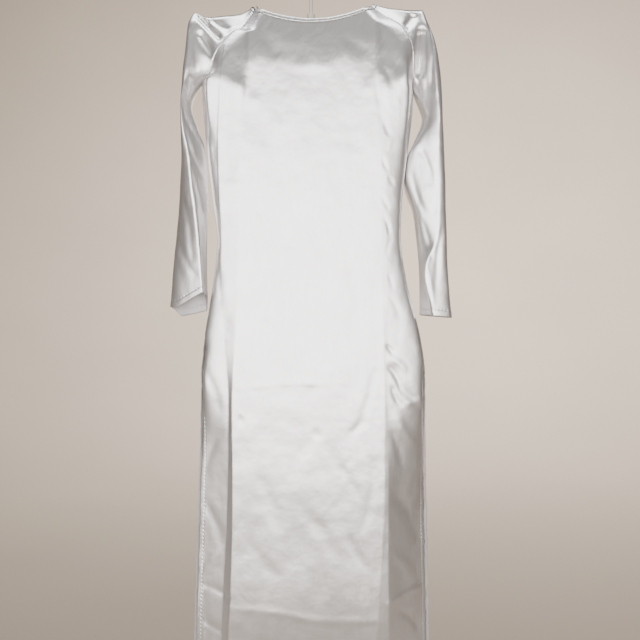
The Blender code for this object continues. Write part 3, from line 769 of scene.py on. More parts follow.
def at_run(distance, run, values):
    """The columns of some values at a distance along the line that they belong to."""
    return np.stack([np.interp(distance, run, column) for column in values.T], axis=-1)


def seam_puff(distance, height):
    """The cloth rises on both sides of a sewn line, and lies lowest on the line itself."""
    return height * (1 - hump(distance, SEAM_TROUGH)) * hump(distance, SEAM_REACHES)


def turned_edge(distance, width, height):
    """Cloth turned in under an edge stands up a little as far as the stitches."""
    before, past = HEM_SLOPE
    return height * (1 - ease(width - before, width + past, distance))


def cloth_mesh(name, grid, maps, hemmed, flip):
    """A mesh of a grid of points in millimetres, equal points merged.

    maps holds the lengths across and along the cloth, and from its nearest edge and along that
    edge. hemmed is 1 where that edge is a turned hem and 0 where it is sewn to another piece.
    """
    rows, columns = grid.shape[:2]
    flat = grid.reshape(-1, 3)
    _, first, index = np.unique(np.round(flat, 3), axis=0, return_index=True, return_inverse=True)
    index = index.reshape(rows, columns)
    faces = []
    corners = []
    for r in range(rows - 1):
        for c in range(columns - 1):
            square = ((r, c), (r + 1, c), (r + 1, c + 1), (r, c + 1))
            kept = []
            for spot in square[::-1] if flip else square:
                if index[spot] not in [index[k] for k in kept]:
                    kept.append(spot)
            if len(kept) > 2:
                faces.append([int(index[k]) for k in kept])
                corners.extend(kept)
    data = bpy.data.meshes.new(name)
    data.from_pydata((flat[first] * MM).tolist(), [], faces)
    at = tuple(np.array(corners).T)
    for layer_name, (u, v) in maps.items():
        layer = data.uv_layers.new(name=layer_name)
        uv = np.stack((u[at], v[at]), axis=-1) * MM
        layer.data.foreach_set("uv", uv.astype(np.float32).ravel())
    turned = data.attributes.new("hemmed", "FLOAT", "CORNER")
    turned.data.foreach_set("value", hemmed[at].astype(np.float32))
    data.update()
    return data


def add_object(name, data, *materials):
    """A new object for a mesh, lamp or camera, with its materials."""
    for material in materials:
        data.materials.append(material)
    item = bpy.data.objects.new(name, data)
    bpy.context.collection.objects.link(item)
    return item


def cloth_shell(name, data, thickness, outside, inside):
    """A cloth mesh, given its thickness on both sides of its middle."""
    data.shade_smooth()
    item = add_object(name, data, finish_of(outside), finish_of(inside))
    bpy.ops.object.select_all(action="DESELECT")
    item.select_set(True)
    bpy.context.view_layer.objects.active = item
    shell = item.modifiers.new("thickness", "SOLIDIFY")
    shell.thickness = thickness
    shell.offset = 0.0
    shell.use_even_offset = False
    shell.material_offset = 1
    shell.material_offset_rim = 0
    bpy.ops.object.modifier_apply(modifier="thickness")
    return item


def place(item, slot, *nodes):
    """Fixes a finished piece to the part."""
    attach(item, BODY)
    if nodes:
        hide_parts(*nodes)


def cut_size(grid):
    """Largest width and length of a grid's cloth, and its area, in metres."""
    width = run_lengths(grid, 1)[:, -1].max()
    length = run_lengths(grid, 0)[-1].max()
    twice = 0.0
    for corner in (grid[:-1, :-1], grid[1:, 1:]):
        sides = np.cross(grid[1:, :-1] - corner, grid[:-1, 1:] - corner)
        twice = twice + np.linalg.norm(sides, axis=-1)
    return width * MM, length * MM, 0.5 * twice.sum() * MM * MM


_cloth = {}  # finished grids of the pieces that stitches and binding sit on


def hang(node, grid, maps, hemmed):
    """Hangs a piece of the tunic as a sheet of satin, in place of its solid."""
    _cloth[node] = grid
    data = cloth_mesh(node + "_cloth", grid, maps, hemmed, OUTWARD[node] > 0)
    thickness = bpy.context.scene.ao_dai_sizes.cloth_thickness
    item = cloth_shell(data.name, data, thickness, "satin", "satin_reverse")
    place(item, "satin", node)
    width, length, area = cut_size(grid)


# ------------------------------------------------------------------ finishes
DULL_ROUGHNESS = 0.16  # how much rougher the satin's reverse is
DULL_LUSTRE = 0.4  # and what share of the metallic look it keeps
UNEVEN_SHEEN = 0.035  # roughness differs by this much either way
STITCH_DIMPLE = 0.0016  # half width of the dimples that hem stitches pull into the cloth
RIPPLE_REACH = 0.0042  # how far the ripples of a sewn seam run into the cloth
RIPPLE_STEPS = 210.0  # of them in a metre
RIPPLE_HEIGHT = 0.55  # against the depth of a dimple


class Value:
    """An output socket that takes part in sums. Each sum becomes a Math node."""

    def __init__(self, finish, socket):
        self.finish = finish
        self.socket = socket

    def __add__(self, other):
        return self.finish.math("ADD", self, other)

    def __sub__(self, other):
        return self.finish.math("SUBTRACT", self, other)

    def __rsub__(self, other):
        return self.finish.math("SUBTRACT", other, self)

    def __mul__(self, other):
        return self.finish.math("MULTIPLY", self, other)

    def __pow__(self, other):
        return self.finish.math("POWER", self, other)

    __radd__ = __add__
    __rmul__ = __mul__


class Finish:
    """A material under construction."""

    def __init__(self, name):
        self.material = bpy.data.materials.new(name)
        self.material.use_nodes = True
        self.tree = self.material.node_tree
        self.shader = self.tree.nodes["Principled BSDF"]

    def add(self, kind, settings=None, inputs=None, output=0):
        """Adds a node, sets it up, links or fills its sockets and returns one of its outputs."""
        node = self.tree.nodes.new(kind)
        for key, value in (settings or {}).items():
            setattr(node, key, value)
        for key, value in (inputs or {}).items():
            self.join(node.inputs[key], value)
        return Value(self, node.outputs[output])

    def join(self, socket, value):
        if isinstance(value, Value):
            self.tree.links.new(value.socket, socket)
        else:
            socket.default_value = value

    def math(self, operation, *values):
        return self.add("ShaderNodeMath", {"operation": operation}, dict(enumerate(values)))

    def map(self, name):
        """Places on the piece's own cloth map or edge map."""
        return self.add("ShaderNodeUVMap", {"uv_map": name})

    def place(self):
        """Places in the tunic, from its origin."""
        return self.add("ShaderNodeTexCoord", output=3)

    def noise(self, at, scale, detail, roughness=0.5):
        inputs = {"Vector": at, "Scale": scale, "Detail": detail, "Roughness": roughness}
        return self.add("ShaderNodeTexNoise", None, inputs)

    def stretched(self, at, size):
        return self.add("ShaderNodeMapping", None, {"Vector": at, "Scale": size})

    def blend(self, share, a, b):
        """A colour between two others."""
        inputs = {"Factor": share, 6: (*a, 1.0), 7: (*b, 1.0)}
        return self.add("ShaderNodeMix", {"data_type": "RGBA"}, inputs, 2)

    def level(self, value, low, high, to_low=0.0, to_high=1.0):
        """Runs from to_low to to_high as a value runs from low to high."""
        inputs = dict(enumerate((value, low, high, to_low, to_high)))
        return self.add("ShaderNodeMapRange", None, inputs)

    def bump(self, height, depth, under=None):
        """Relief of a height from 0 to 1 that stands as deep as this in metres."""
        inputs = {"Height": height, "Distance": depth, "Strength": 1.0}
        if under is not None:
            inputs["Normal"] = under
        return self.add("ShaderNodeBump", None, inputs)

    def give(self, **values):
        for key, value in values.items():
            self.join(self.shader.inputs[key.replace("_", " ")], value)
        return self.material


def satin_finish(name, look, dull=False):
    """Satin: long threads down the cloth, a soft metallic sheen and slight unevenness."""
    finish = Finish(name)
    cloth = finish.map("cloth")
    spot = finish.place()
    threads = finish.noise(finish.stretched(cloth, (1.0, 0.07, 1.0)), scale=2600.0, detail=1.0)
    slubs = finish.noise(finish.stretched(cloth, (1.0, 0.045, 1.0)), scale=420.0, detail=2.0)
    soft = finish.noise(spot, scale=34.0, detail=2.0, roughness=0.45)
    patches = finish.noise(spot, scale=9.0, detail=3.0, roughness=0.55)
    tint = finish.level(patches, 0.3, 0.7) * 0.75 + finish.level(slubs, 0.3, 0.7, to_high=0.25)
    # The reverse is darker than the face: partly its duller weave, partly painted shade of the
    # tunic's inside.
    pale = look.reverse_shaded_colour if dull else look.cloth_colour
    rough = look.roughness + (DULL_ROUGHNESS if dull else 0.0)
    normal = finish.bump(soft, depth=look.rumple)
    normal = finish.bump(sewing_relief(finish), depth=0.0005, under=normal)
    normal = finish.bump(slubs, depth=0.00003, under=normal)
    normal = finish.bump(threads, depth=0.000018, under=normal)
    return finish.give(
        Base_Color=finish.blend(tint, darker(pale, 0.93), pale),
        Roughness=finish.level(slubs, 0.25, 0.75, rough - UNEVEN_SHEEN, rough + UNEVEN_SHEEN),
        Normal=normal,
        Metallic=look.lustre * (DULL_LUSTRE if dull else 1.0),
        Anisotropic=look.grain,
        Specular_IOR_Level=0.5,
    )


def darker(colour, share):
    """A colour times a share, but no brighter than white."""
    return tuple(min(1.0, c * share) for c in colour)


def sewing_relief(finish):
    """Height of what sewing does beside an edge: dimples at hem stitches, ripples along seams."""
    sizes = bpy.context.scene.ao_dai_sizes
    edge = finish.map("edge")
    distance = finish.add("ShaderNodeSeparateXYZ", None, {0: edge}, 0)
    run = finish.add("ShaderNodeSeparateXYZ", None, {0: edge}, 1)
    hemmed = finish.add("ShaderNodeAttribute", {"attribute_name": "hemmed"}, None, 2)
    off_line = (distance - sizes.slit_hem) * (1 / STITCH_DIMPLE)
    at_line = finish.math("EXPONENT", off_line * off_line * -1.0)
    beat = finish.math("COSINE", run * (2 * math.pi / sizes.stitch)) * 0.5 + 0.5
    dimples = at_line * (0.35 + 0.65 * beat**3.0) * hemmed
    uneven = finish.noise(finish.stretched(edge, (0.0, RIPPLE_STEPS, 0.0)), scale=1.0, detail=2.0)
    near = finish.math("EXPONENT", distance * (-1 / RIPPLE_REACH))
    ripples = finish.level(uneven, 0.25, 0.75, -1.0) * near * (1.0 - hemmed) * RIPPLE_HEIGHT
    return ripples - dimples


def thread_finish(name, look):
    finish = Finish(name)
    strands = finish.noise(finish.place(), scale=2400.0, detail=1.0)
    return finish.give(
        Base_Color=finish.blend(
            finish.level(strands, 0.3, 0.7), look.thread_colour, look.cloth_colour
        ),
        Roughness=0.5,
        Normal=finish.bump(strands, depth=0.00008),
        Sheen_Weight=0.2,
    )


def plastic_finish(name, look):
    """Plastic with a fine grain, paler and a little rougher where it is worn."""
    finish = Finish(name)
    spot = finish.place()
    grain = finish.noise(spot, scale=900.0, detail=3.0)
    wear = finish.noise(spot, scale=38.0, detail=4.0, roughness=0.6)
    worn = darker(look.hanger_colour, 1.18)
    return finish.give(
        Base_Color=finish.blend(finish.level(wear, 0.45, 0.68), look.hanger_colour, worn),
        Roughness=finish.level(wear, 0.3, 0.7, 0.36, 0.52),
        Normal=finish.bump(grain, depth=0.00006),
    )


def wire_finish(name, look):
    """Dark metal, rubbed bright in places."""
    finish = Finish(name)
    rubbed = finish.noise(finish.place(), scale=260.0, detail=3.0, roughness=0.6)
    bright = (0.30, 0.28, 0.27)
    return finish.give(
        Base_Color=finish.blend(finish.level(rubbed, 0.45, 0.7), look.wire_colour, bright),
        Roughness=finish.level(rubbed, 0.3, 0.7, 0.32, 0.5),
        Metallic=0.85,
        Normal=finish.bump(rubbed, depth=0.00004),
    )


def floor_finish(name, look):
    finish = Finish(name)
    cloud = finish.noise(finish.place(), scale=0.8, detail=3.0)
    return finish.give(
        Base_Color=finish.blend(
            finish.level(cloud, 0.35, 0.65), look.floor_shade, look.floor_colour
        ),
        Roughness=0.95,
        Specular_IOR_Level=0.1,
    )


FINISHES = {
    "satin": ("silver_satin", satin_finish),
    "satin_reverse": ("silver_satin_reverse", lambda *given: satin_finish(*given, dull=True)),
    "binding": ("binding_satin_bias", satin_finish),
    "thread": ("satin_thread", thread_finish),
    "plastic": ("hanger_plastic_worn", plastic_finish),
    "wire": ("dark_wire", wire_finish),
    "floor": ("studio_floor", floor_finish),
}
_finishes = {}


def finish_of(key):
    """A material of the tunic, made the first time that it is asked for."""
    if key not in _finishes:
        name, maker = FINISHES[key]
        _finishes[key] = maker(name, bpy.context.scene.ao_dai_look)
    return _finishes[key]


def refinish(key, *nodes):
    """Gives solids of the part a better material."""
    for node in nodes:
        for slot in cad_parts[node].material_slots:
            slot.material = finish_of(key)


# ------------------------------------------------------------------ settings
def colour_setting(name, description, default):
    return bpy.props.FloatVectorProperty(
        name=name,
        description=description,
        default=default,
        size=3,
        subtype="COLOR",
        min=0.0,
        max=1.0,
    )


def share_setting(name, description, default, least=0.0):
    return bpy.props.FloatProperty(
        name=name,
        description=description,
        default=default,
        min=least,
        max=1.0,
        subtype="FACTOR",
    )


def length_setting(name, description, default):
    return bpy.props.FloatProperty(
        name=name, description=description, default=default, unit="LENGTH"
    )


class AoDaiLook(bpy.types.PropertyGroup):
    """Colours and lustre of the tunic and what is round it."""

    cloth_colour: colour_setting("Cloth", "Colour of the satin", (0.80, 0.785, 0.785))
    # Colour of the inside: partly the reverse's duller weave, partly painted shade of the tunic's
    # inside.
    reverse_shaded_colour: colour_setting("Reverse", "Colour of its dull inside", (0.60, 0.58, 0.58))
    thread_colour: colour_setting("Thread", "Colour of the sewing thread", (0.70, 0.68, 0.67))
    hanger_colour: colour_setting("Hanger", "Colour of the plastic", (0.50, 0.455, 0.39))
    wire_colour: colour_setting("Wire", "Colour of the neck's hook and eye", (0.11, 0.10, 0.105))
    floor_colour: colour_setting("Floor", "Colour of the floor", (0.385, 0.325, 0.268))
    floor_shade: colour_setting(
        "Floor shade", "Colour of its darker patches", (0.365, 0.308, 0.254)
    )
    lustre: share_setting("Lustre", "How metallic the satin looks", 0.88)
    roughness: share_setting("Roughness", "How wide the satin's sheen spreads", 0.35, 0.1)
    grain: share_setting("Grain", "How much its threads spread light sideways", 0.35)
    rumple: length_setting("Rumple", "Height of the small unevenness", 0.0009)


class AoDaiSizes(bpy.types.PropertyGroup):
    """Sizes of the cloth and of its sewing."""

    cloth_thickness: length_setting("Cloth", "Thickness of the satin", 0.0006)
    binding_height: length_setting("Binding height", "Height of the neck binding", 0.0065)
    binding_thickness: length_setting("Binding thickness", "Thickness of the neck binding", 0.0024)
    slit_hem: length_setting("Slit hem", "Width of the turned edges of the slits", 0.008)
    foot_hem: length_setting("Foot hem", "Width of the turned bottom edges", 0.022)
    cuff_hem: length_setting("Cuff hem", "Width of the turned cuffs", 0.013)
    stitch: length_setting("Stitch pitch", "Distance between hem stitches", 0.0072)


# ------------------------------------------------------------------ the cloth pieces
PANEL_FADE = 14.0  # a panel's wrinkles fade out this near to its edges
SLEEVE_FADE = 12.0  # and a sleeve's to its seam
CUFF_FADE = 4.0  # the cuff's hem fades out this near to the seam
WAVER_REACH = 7.0  # how far the unevenness of a flap's edge runs into the cloth
SEAM_HEIGHT = {"panel": 0.75, "sleeve": 0.7, "dart": 0.3}
HEM_HEIGHT = {"slit": 0.45, "foot": 0.4, "cuff": 0.45}
DART_DIP = 0.4  # depth of the sewn line of a dart
DART_WIDTH = 1.3
DART_FADES = 0.8  # share of its length from which a dart fades out


def waver(levels, side, seed):
    """Sideways unevenness of a flap's hand-sewn edge, in millimetres, row by row."""
    rows = np.arange(len(levels))
    drift = sway(seed, rows * 0.21)
    ripple = sway(seed, rows * 0.72, 4.0)
    return (drift * 1.3 + ripple * 0.9) * slit_open(side, levels)


def cloth_maps(across, along, edge, from_foot, foot_hem, hemmed):
    """Maps of a piece, and where its nearest edge is hemmed.

    The foot's hem is wider than a slit's, so each is measured from its own stitches.
    """
    foot = from_foot - (foot_hem - bpy.context.scene.ao_dai_sizes.slit_hem) / MM
    at_foot = foot < edge
    maps = {
        "cloth": (across, along),
        "edge": (np.where(at_foot, foot, edge), np.where(at_foot, across, along)),
    }
    return maps, np.where(at_foot, 1.0, hemmed)


def chest_sewing(x, z):
    """Relief of the front's lapped edge and of its bust darts."""
    lap = smooth(CREASES, "turn_left", z) - LAP_INSET
    inside, outside = LAP_SLOPE
    above_foot = ease(LAP_FOOT - LAP_FOOT_FADE, LAP_FOOT, z)
    above_top = ease(LAP_TOP, LAP_TOP + LAP_TOP_FADE, z)
    step = 1 - ease(lap - outside, lap + inside, x)
    lift = -LAP_STEP * step * (above_foot * (1 - above_top))
    for dart in DARTS:
        away, along = near_line(x, z, dart)
        line = seam_puff(away, SEAM_HEIGHT["dart"]) - DART_DIP * hump(away, DART_WIDTH)
        lift += line * (1 - ease(DART_FADES, 1.0, along))
    return lift


def panel_cloth(node):
    """Finished points of a panel, its maps and where its nearest edge is hemmed."""
    sizes = bpy.context.scene.ao_dai_sizes
    face = OUTWARD[node]
    grid, levels = panel_grid(face)
    across = run_lengths(grid, 1)
    along = run_lengths(grid, 0)
    from_right = across[:, -1:] - across
    from_foot = along[-1:] - along
    sides = (("left", across, 2.5), ("right", from_right, 8.5))
    for side, distance, seed in sides:
        grid[..., 0] += waver(levels, side, seed + face)[:, None] * np.exp(-distance / WAVER_REACH)
    x = grid[..., 0]
    z = grid[..., 2]
    lift = fine_relief(FRONT_WRINKLES if face == FRONT else BACK_WRINKLES, x, z)
    lift += rumple(grid, seed=3 + face, size=46.0, height=0.9)
    if face == FRONT:
        lift += chest_sewing(x, z)
    edge = np.minimum(across, from_right)
    lift *= np.clip(edge / PANEL_FADE, 0, 1)
    opened = {}
    for side, distance, _ in sides:
        opened[side] = slit_open(side, levels)[:, None]
        hem = turned_edge(distance, sizes.slit_hem / MM, HEM_HEIGHT["slit"])
        lift += mix(seam_puff(distance, SEAM_HEIGHT["panel"]), hem, opened[side])
    lift += turned_edge(from_foot, sizes.foot_hem / MM, HEM_HEIGHT["foot"])
    grid = grid + grid_normals(grid, face) * lift[..., None]
    hemmed = np.where(across < from_right, opened["left"], opened["right"])
    return grid, *cloth_maps(across, along, edge, from_foot, sizes.foot_hem, hemmed)


def sleeve_cloth(node):
    """Finished points of a sleeve, its maps and where its nearest edge is hemmed."""
    sizes = bpy.context.scene.ao_dai_sizes
    side = node.split("_")[1]
    grid = sleeve_grid(side)
    across = run_lengths(grid, 1)
    along = run_lengths(grid, 0)
    edge = np.minimum(across, across[:, -1:] - across)
    from_cuff = along[-1:] - along
    lift = fine_relief(SLEEVE_WRINKLES, grid[..., 0], grid[..., 2])
    lift += rumple(grid, seed=7 if side == "right" else 9, size=30.0, height=0.8)
    lift *= np.clip(edge / SLEEVE_FADE, 0, 1)
    lift += seam_puff(edge, SEAM_HEIGHT["sleeve"])
    hem = turned_edge(from_cuff, sizes.cuff_hem / MM, HEM_HEIGHT["cuff"])
    lift += hem * np.clip(edge / CUFF_FADE, 0, 1)
    grid = grid + grid_normals(grid, OUTWARD[node]) * lift[..., None]
    return grid, *cloth_maps(across, along, edge, from_cuff, sizes.cuff_hem, 0.0)


# Section of the binding, from its outer foot over the neck's edge to its inner foot, as shares of
# its height and of half its thickness.
BINDING_SECTION = (
    (-0.10, 0.55),
    (-0.12, 0.85),
    (-0.04, 1.02),
    (0.18, 1.10),
    (0.42, 1.08),
    (0.66, 0.98),
    (0.84, 0.78),
    (0.95, 0.45),
    (1.0, 0.0),
    (0.95, -0.45),
    (0.84, -0.75),
    (0.6, -0.9),
    (0.3, -0.95),
    (0.0, -0.9),
    (-0.1, -0.7),
)
BINDING_CLOTH = 0.0004  # thickness in metres of the cloth that the binding is folded from
BINDING_PITCH = 1.25  # of the points along it
BIAS = 0.7071  # turns its threads by 45 degrees
BINDING_ROOM = 0.3  # over the edge of the neck


def closed_average(values, reach):
    """Running average round a closed loop."""
    total = np.zeros(values.shape)
    for step in range(-reach, reach + 1):
        total += np.roll(values, step, axis=0)
    return total / (2 * reach + 1)


def neck_frames(pitch):
    """The neck's edge once round at even steps: its points, the way out and the way up."""
    front, left, back, right = (
        _cloth[node] for node in ("front_panel", "sleeve_left", "back_panel", "sleeve_right")
    )
    parts = []
    for grid in (front, left, back[:, ::-1], right[:, ::-1]):
        outs = grid_normals(grid[:4], -1)[0]
        parts.append(np.concatenate((grid[0], grid[0] - grid[3], outs), axis=1)[:-1])
    values = np.concatenate(parts + [parts[0][:1]])
    run = run_lengths(values[:, :3], 0)
    count = int(run[-1] / pitch)
    at = np.arange(count) * run[-1] / count
    points, falls, outs = np.split(at_run(at, run, values), 3, axis=1)
    outs = unit(closed_average(outs, 2))
    falls = closed_average(falls, 2)
    ups = unit(falls - outs * np.sum(falls * outs, axis=1, keepdims=True))
    return points, outs, ups, at


def binding_cloth(frames):
    """Points of the bias strip folded over the neck's edge, and its maps."""
    sizes = bpy.context.scene.ao_dai_sizes
    points, outs, ups, at = frames
    high = sizes.binding_height / MM + BINDING_ROOM
    half = sizes.binding_thickness / MM / 2
    swell = sway(at * 0.09, 3.1)
    rise = sway(at * 0.05, 7.7)
    rows = []
    for height, side in BINDING_SECTION:
        twist = sway(at * 0.28 + height * 2.2, 1.3)
        out = half * side * (1 + 0.16 * swell) + 0.22 * twist * math.copysign(1, side)
        up = high * height + 0.45 * rise * max(height, 0.0)
        rows.append(points + ups * up[:, None] + outs * out[:, None])
    grid = np.array(rows)
    grid = np.concatenate((grid, grid[:, :1]), axis=1)
    across = run_lengths(grid, 0)
    along = run_lengths(grid, 1)
    maps = {
        "cloth": ((along + across) * BIAS, (along - across) * BIAS),
        "edge": (across + 50, along),  # far from any seam or hem
    }
    return grid, maps


# ------------------------------------------------------------------ stitches
HEM_STITCH = (1.3, 0.4)  # length and width
WHIP_STITCH = (2.6, 0.42)
WHIP_PITCH = 3.1
WHIP_SLANT = 0.55  # how far along the neck a whip stitch runs as it crosses the binding's foot
STITCH_FLATNESS = 0.8
STITCH_TURN = 0.12  # how much hand-made stitches differ in direction
STITCH_UNEVEN = 0.25  # and in length
STITCH_RISE = 0.02  # of the middle of a hem stitch over the cloth


def one_stitch(length, width):
    """Points and faces of a stitch along X at the origin, modelled from a sphere."""
    bpy.ops.object.select_all(action="DESELECT")
    bpy.ops.mesh.primitive_uv_sphere_add(
        segments=8, ring_count=5, radius=0.5, rotation=(0, math.pi / 2, 0)
    )
    item = bpy.context.object
    bpy.ops.object.transform_apply(location=False, rotation=True, scale=False)
    bpy.ops.object.mode_set(mode="EDIT")
    bpy.ops.mesh.select_all(action="SELECT")
    bpy.ops.transform.resize(value=(length, width, width * STITCH_FLATNESS))
    bpy.ops.object.mode_set(mode="OBJECT")
    shape = item.data
    points = np.array([v.co[:] for v in shape.vertices])
    faces = [tuple(f.vertices) for f in shape.polygons]
    bpy.data.objects.remove(item)
    bpy.data.meshes.remove(shape)
    return points, faces


def sew(name, slot, places, length, width):
    """Copies of a stitch as one piece. A place is a point, the way along it and the way out."""
    shape, shape_faces = one_stitch(length, width)
    points = []
    faces = []
    for i, (point, along, out) in enumerate(places):
        turn = STITCH_TURN * sway(i * 0.83, 2.0, 5.0)
        along = unit(along + np.cross(out, along) * turn)
        across = unit(np.cross(out, along))
        out = np.cross(along, across)
        size = 1 + STITCH_UNEVEN * sway(i * 1.37, 9.0, 1.0)
        start = len(points)
        for x, y, z in shape:
            points.append((point + along * x * size + across * y + out * z) * MM)
        faces.extend([tuple(start + v for v in face) for face in shape_faces])
    data = bpy.data.meshes.new(name)
    data.from_pydata(points, [], faces)
    data.update()
    data.shade_smooth()
    place(add_object(name, data, finish_of("thread")), slot)


def even_places(line, outs, pitch, lift):
    """Places for stitches at even steps along a line on the cloth, lifted off its middle."""
    run = run_lengths(line, 0)
    places = []
    for i in range(int(run[-1] / pitch)):
        at = (i + 0.5) * pitch
        point = at_run(at, run, line)
        ahead = at_run(at + 1.0, run, line)
        out = unit(at_run(at, run, outs))
        if np.linalg.norm(ahead - point) > 1e-6:
            places.append((point + out * lift, unit(ahead - point), out))
    return places


def inset_line(grid, normals, distance, side):
    """The line at a distance from a grid's left or right edge or its foot, and its normals."""
    turned = {
        "left": lambda values: values,
        "right": lambda values: values[:, ::-1],
        "foot": lambda values: values[::-1].swapaxes(0, 1),
    }[side]
    rows = turned(grid)
    lengths = run_lengths(rows, 1)
    line = [at_run(distance, run, row) for run, row in zip(lengths, rows)]
    outs = [at_run(distance, run, row) for run, row in zip(lengths, turned(normals))]
    return np.array(line), np.array(outs)


# ------------------------------------------------------------------ operators
class AODAI_OT_panels(bpy.types.Operator):
    """Hang the front and back panels, with their creases, darts, slits and hems"""

    bl_idname = "aodai.panels"
    bl_label = "Front and back panels"

    def execute(self, context):
        for node in ("front_panel", "back_panel"):
            hang(node, *panel_cloth(node))
        return {"FINISHED"}


class AODAI_OT_sleeves(bpy.types.Operator):
    """Hang the two raglan sleeves"""

    bl_idname = "aodai.sleeves"
    bl_label = "Raglan sleeves"

    def execute(self, context):
        for node in ("sleeve_right", "sleeve_left"):
            hang(node, *sleeve_cloth(node))
        return {"FINISHED"}


class AODAI_OT_binding(bpy.types.Operator):
    """Fold the bias strip over the edge of the neck and sew it down"""

    bl_idname = "aodai.binding"
    bl_label = "Neck binding"

    def execute(self, context):
        frames = neck_frames(BINDING_PITCH)
        grid, maps = binding_cloth(frames)
        data = cloth_mesh("neck_binding_cloth", grid, maps, np.zeros(grid.shape[:2]), True)
        item = cloth_shell(data.name, data, BINDING_CLOTH, "binding", "binding")
        place(item, "binding", "neck_binding")
        length, width, area = cut_size(grid)
        self.sew_down(frames, context.scene.ao_dai_sizes.binding_thickness / MM / 2)
        return {"FINISHED"}

    def sew_down(self, frames, half):
        """Small whip stitches along the outer foot of the binding."""
        points, outs, ups, at = frames
        places = []
        for i in range(int(at[-1] / WHIP_PITCH)):
            k = int(np.searchsorted(at, i * WHIP_PITCH))
            slide = unit(points[(k + 3) % len(points)] - points[k])
            spot = points[k] - ups[k] * 0.5 + outs[k] * (half + 0.12)
            places.append((spot, unit(ups[k] + slide * WHIP_SLANT), outs[k]))
        sew("neck_stitches", "binding", places, *WHIP_STITCH)


class AODAI_OT_hems(bpy.types.Operator):
    """Sew the turned edges of the slits, the foot and the cuffs"""

    bl_idname = "aodai.hems"
    bl_label = "Hem stitches"

    def execute(self, context):
        sizes = context.scene.ao_dai_sizes
        lift = sizes.cloth_thickness / MM / 2 + STITCH_RISE
        for node, outward in OUTWARD.items():
            grid = _cloth[node]
            normals = grid_normals(grid, outward)
            lines = []
            if node.endswith("panel"):
                foot = sizes.foot_hem / MM
                for side, slit in SLIT_ROW.items():
                    top = RAGLAN_STEPS + 1 + int((slit + 1) / BODY_ROWS * SIDE_STEPS)
                    hem = sizes.slit_hem / MM
                    lines.append(inset_line(grid[top:], normals[top:], hem, side))
            else:
                foot = sizes.cuff_hem / MM
            lines.append(inset_line(grid, normals, foot, "foot"))
            places = []
            for line, outs in lines:
                places += even_places(line, outs, sizes.stitch / MM, lift)
            sew(node + "_stitches", "satin", places, *HEM_STITCH)
        return {"FINISHED"}


class AODAI_OT_fastener(bpy.types.Operator):
    """Finish the hook and eye at the neck"""

    bl_idname = "aodai.fastener"
    bl_label = "Hook and eye"

    def execute(self, context):
        refinish("wire", "neck_hook", "neck_eye")
        return {"FINISHED"}


class AODAI_OT_hanger(bpy.types.Operator):
    """Finish the hanger"""

    bl_idname = "aodai.hanger"
    bl_label = "Hanger"

    def execute(self, context):
        refinish("plastic", "hanger_bar", "hanger_hook")
        return {"FINISHED"}


# ------------------------------------------------------------------ stage, in metres and watts
CAMERA_PLACE = (0.0171, -1.6, -0.670)
CAMERA_LENS = 47.37  # in millimetres, as the sensor
CAMERA_SENSOR = 36.0
FLOOR_LEVEL = -1.62
FLOOR_RADIUS = 3.2
RIM_RADIUS = 5.0
RIM_STEPS = 12
FLOOR_SIDES = 96
WHITE = (1.0, 0.99, 0.985)
WARM = (1.0, 0.965, 0.925)
SKY = (1.0, 0.96, 0.91, 1.0)
SKY_STRENGTH = 0.05
LAMPS = (  # name, power, place, aim, width, height, colour
    ("front", 94.0, (-0.3, -2.5, -0.42), (-0.3, 0.0, -0.42), 3.0, 1.6, WHITE),
    ("low", 8.0, (-0.4, -2.3, -1.3), (-0.3, 0.0, -0.8), 2.6, 0.55, WHITE),
    ("top", 40.0, (0.0, -0.5, 1.35), (0.0, -0.02, -0.15), 2.2, 0.7, WHITE),
    ("behind", 12.0, (0.4, 2.4, 0.3), (0.0, 0.0, -0.6), 1.4, 1.4, WHITE),
    ("background", 830.0, (0.7, 3.6, 2.8), (1.0, 6.8, -0.4), 3.4, 1.8, WARM),
    ("far side", 190.0, (0.0, -3.4, 0.9), (0.0, -6.4, -1.4), 5.0, 1.0, WARM),
)


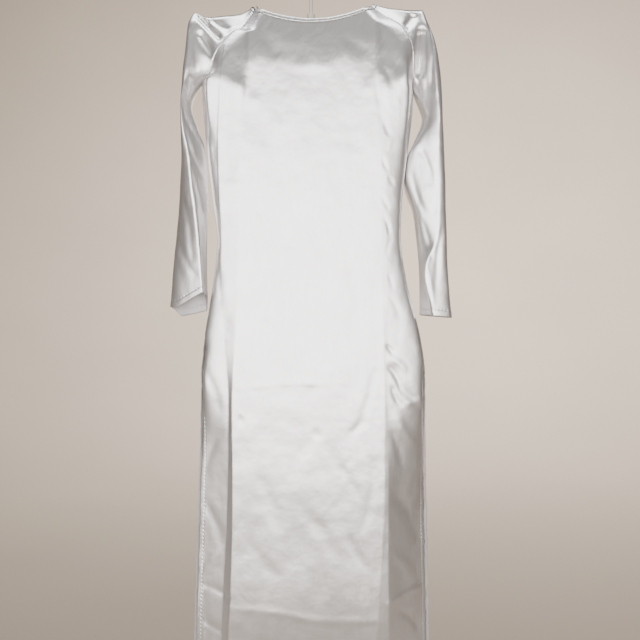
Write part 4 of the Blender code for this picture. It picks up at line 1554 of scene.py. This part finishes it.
class AODAI_OT_stage(bpy.types.Operator):
    """Lay the floor, place the camera and set the light"""

    bl_idname = "aodai.stage"
    bl_label = "Floor, camera and light"

    def execute(self, context):
        self.floor()
        self.camera(context.scene)
        self.light(context.scene)
        return {"FINISHED"}

    def floor(self):
        """A wide round floor that rises far away, beyond every camera."""
        bpy.ops.object.select_all(action="DESELECT")
        bpy.ops.mesh.primitive_circle_add(
            vertices=FLOOR_SIDES, radius=FLOOR_RADIUS, location=(0, 0, FLOOR_LEVEL)
        )
        item = bpy.context.object
        item.name = "floor"
        bpy.ops.object.mode_set(mode="EDIT")
        bpy.ops.mesh.select_all(action="SELECT")
        radius = FLOOR_RADIUS
        height = 0.0
        for i in range(1, RIM_STEPS + 1):
            angle = math.pi / 2 * i / RIM_STEPS
            wider = FLOOR_RADIUS + RIM_RADIUS * math.sin(angle)
            higher = RIM_RADIUS * (1 - math.cos(angle))
            move = {"value": (0, 0, higher - height)}
            bpy.ops.mesh.extrude_region_move(TRANSFORM_OT_translate=move)
            bpy.ops.transform.resize(value=(wider / radius, wider / radius, 1))
            radius = wider
            height = higher
        bpy.ops.mesh.select_all(action="DESELECT")
        bpy.ops.object.mode_set(mode="OBJECT")
        for vertex in item.data.vertices:
            vertex.select = vertex.co.z < 1e-4
        bpy.ops.object.mode_set(mode="EDIT")
        bpy.ops.mesh.edge_face_add()
        bpy.ops.mesh.select_all(action="SELECT")
        bpy.ops.mesh.normals_make_consistent(inside=True)
        bpy.ops.object.mode_set(mode="OBJECT")
        bpy.ops.object.transform_apply(location=True, rotation=True, scale=True)
        item.data.materials.append(finish_of("floor"))
        bpy.ops.object.shade_smooth_by_angle(angle=math.radians(30))

    def camera(self, scene):
        data = bpy.data.cameras.new("camera")
        data.lens = CAMERA_LENS
        data.sensor_width = CAMERA_SENSOR
        item = add_object("camera", data)
        item.location = CAMERA_PLACE
        item.rotation_euler = (math.pi / 2, 0, 0)
        scene.camera = item

    def light(self, scene):
        world = bpy.data.worlds.new("studio")
        world.use_nodes = True
        background = world.node_tree.nodes["Background"]
        background.inputs["Color"].default_value = SKY
        background.inputs["Strength"].default_value = SKY_STRENGTH
        scene.world = world
        for name, power, spot, aim, width, height, tone in LAMPS:
            data = bpy.data.lights.new(name, "AREA")
            data.shape = "RECTANGLE"
            data.size = width
            data.size_y = height
            data.energy = power
            data.color = tone
            item = add_object(name, data)
            item.location = spot
            turn = (Vector(aim) - Vector(spot)).to_track_quat("-Z", "Y")
            item.rotation_euler = turn.to_euler()
            item.visible_camera = False


# ------------------------------------------------------------------ sidebar and start
STEPS = (
    AODAI_OT_panels,
    AODAI_OT_sleeves,
    AODAI_OT_binding,
    AODAI_OT_hems,
    AODAI_OT_fastener,
    AODAI_OT_hanger,
    AODAI_OT_stage,
)


class AODAI_PT_pieces(bpy.types.Panel):
    """The pieces of the tunic"""

    bl_label = "Ao Dai Tunic"
    bl_space_type = "VIEW_3D"
    bl_region_type = "UI"
    bl_category = "Ao Dai"

    def draw(self, context):
        for step in STEPS:
            self.layout.operator(step.bl_idname)
        for group in (context.scene.ao_dai_sizes, context.scene.ao_dai_look):
            box = self.layout.box()
            for name in group.bl_rna.properties.keys():
                if name not in ("rna_type", "name"):
                    box.prop(group, name)


CLASSES = (AoDaiLook, AoDaiSizes, *STEPS, AODAI_PT_pieces)


def register():
    for item in CLASSES:
        bpy.utils.register_class(item)
    bpy.types.Scene.ao_dai_look = bpy.props.PointerProperty(type=AoDaiLook)
    bpy.types.Scene.ao_dai_sizes = bpy.props.PointerProperty(type=AoDaiSizes)


def unregister():
    del bpy.types.Scene.ao_dai_sizes
    del bpy.types.Scene.ao_dai_look
    for item in reversed(CLASSES):
        bpy.utils.unregister_class(item)


def main():
    register()
    for step in STEPS:
        group, name = step.bl_idname.split(".")
        result = getattr(getattr(bpy.ops, group), name)()
        if "FINISHED" not in result:
            raise RuntimeError(step.bl_label + " wasn't finished")


if __name__ == "__main__":
    main()
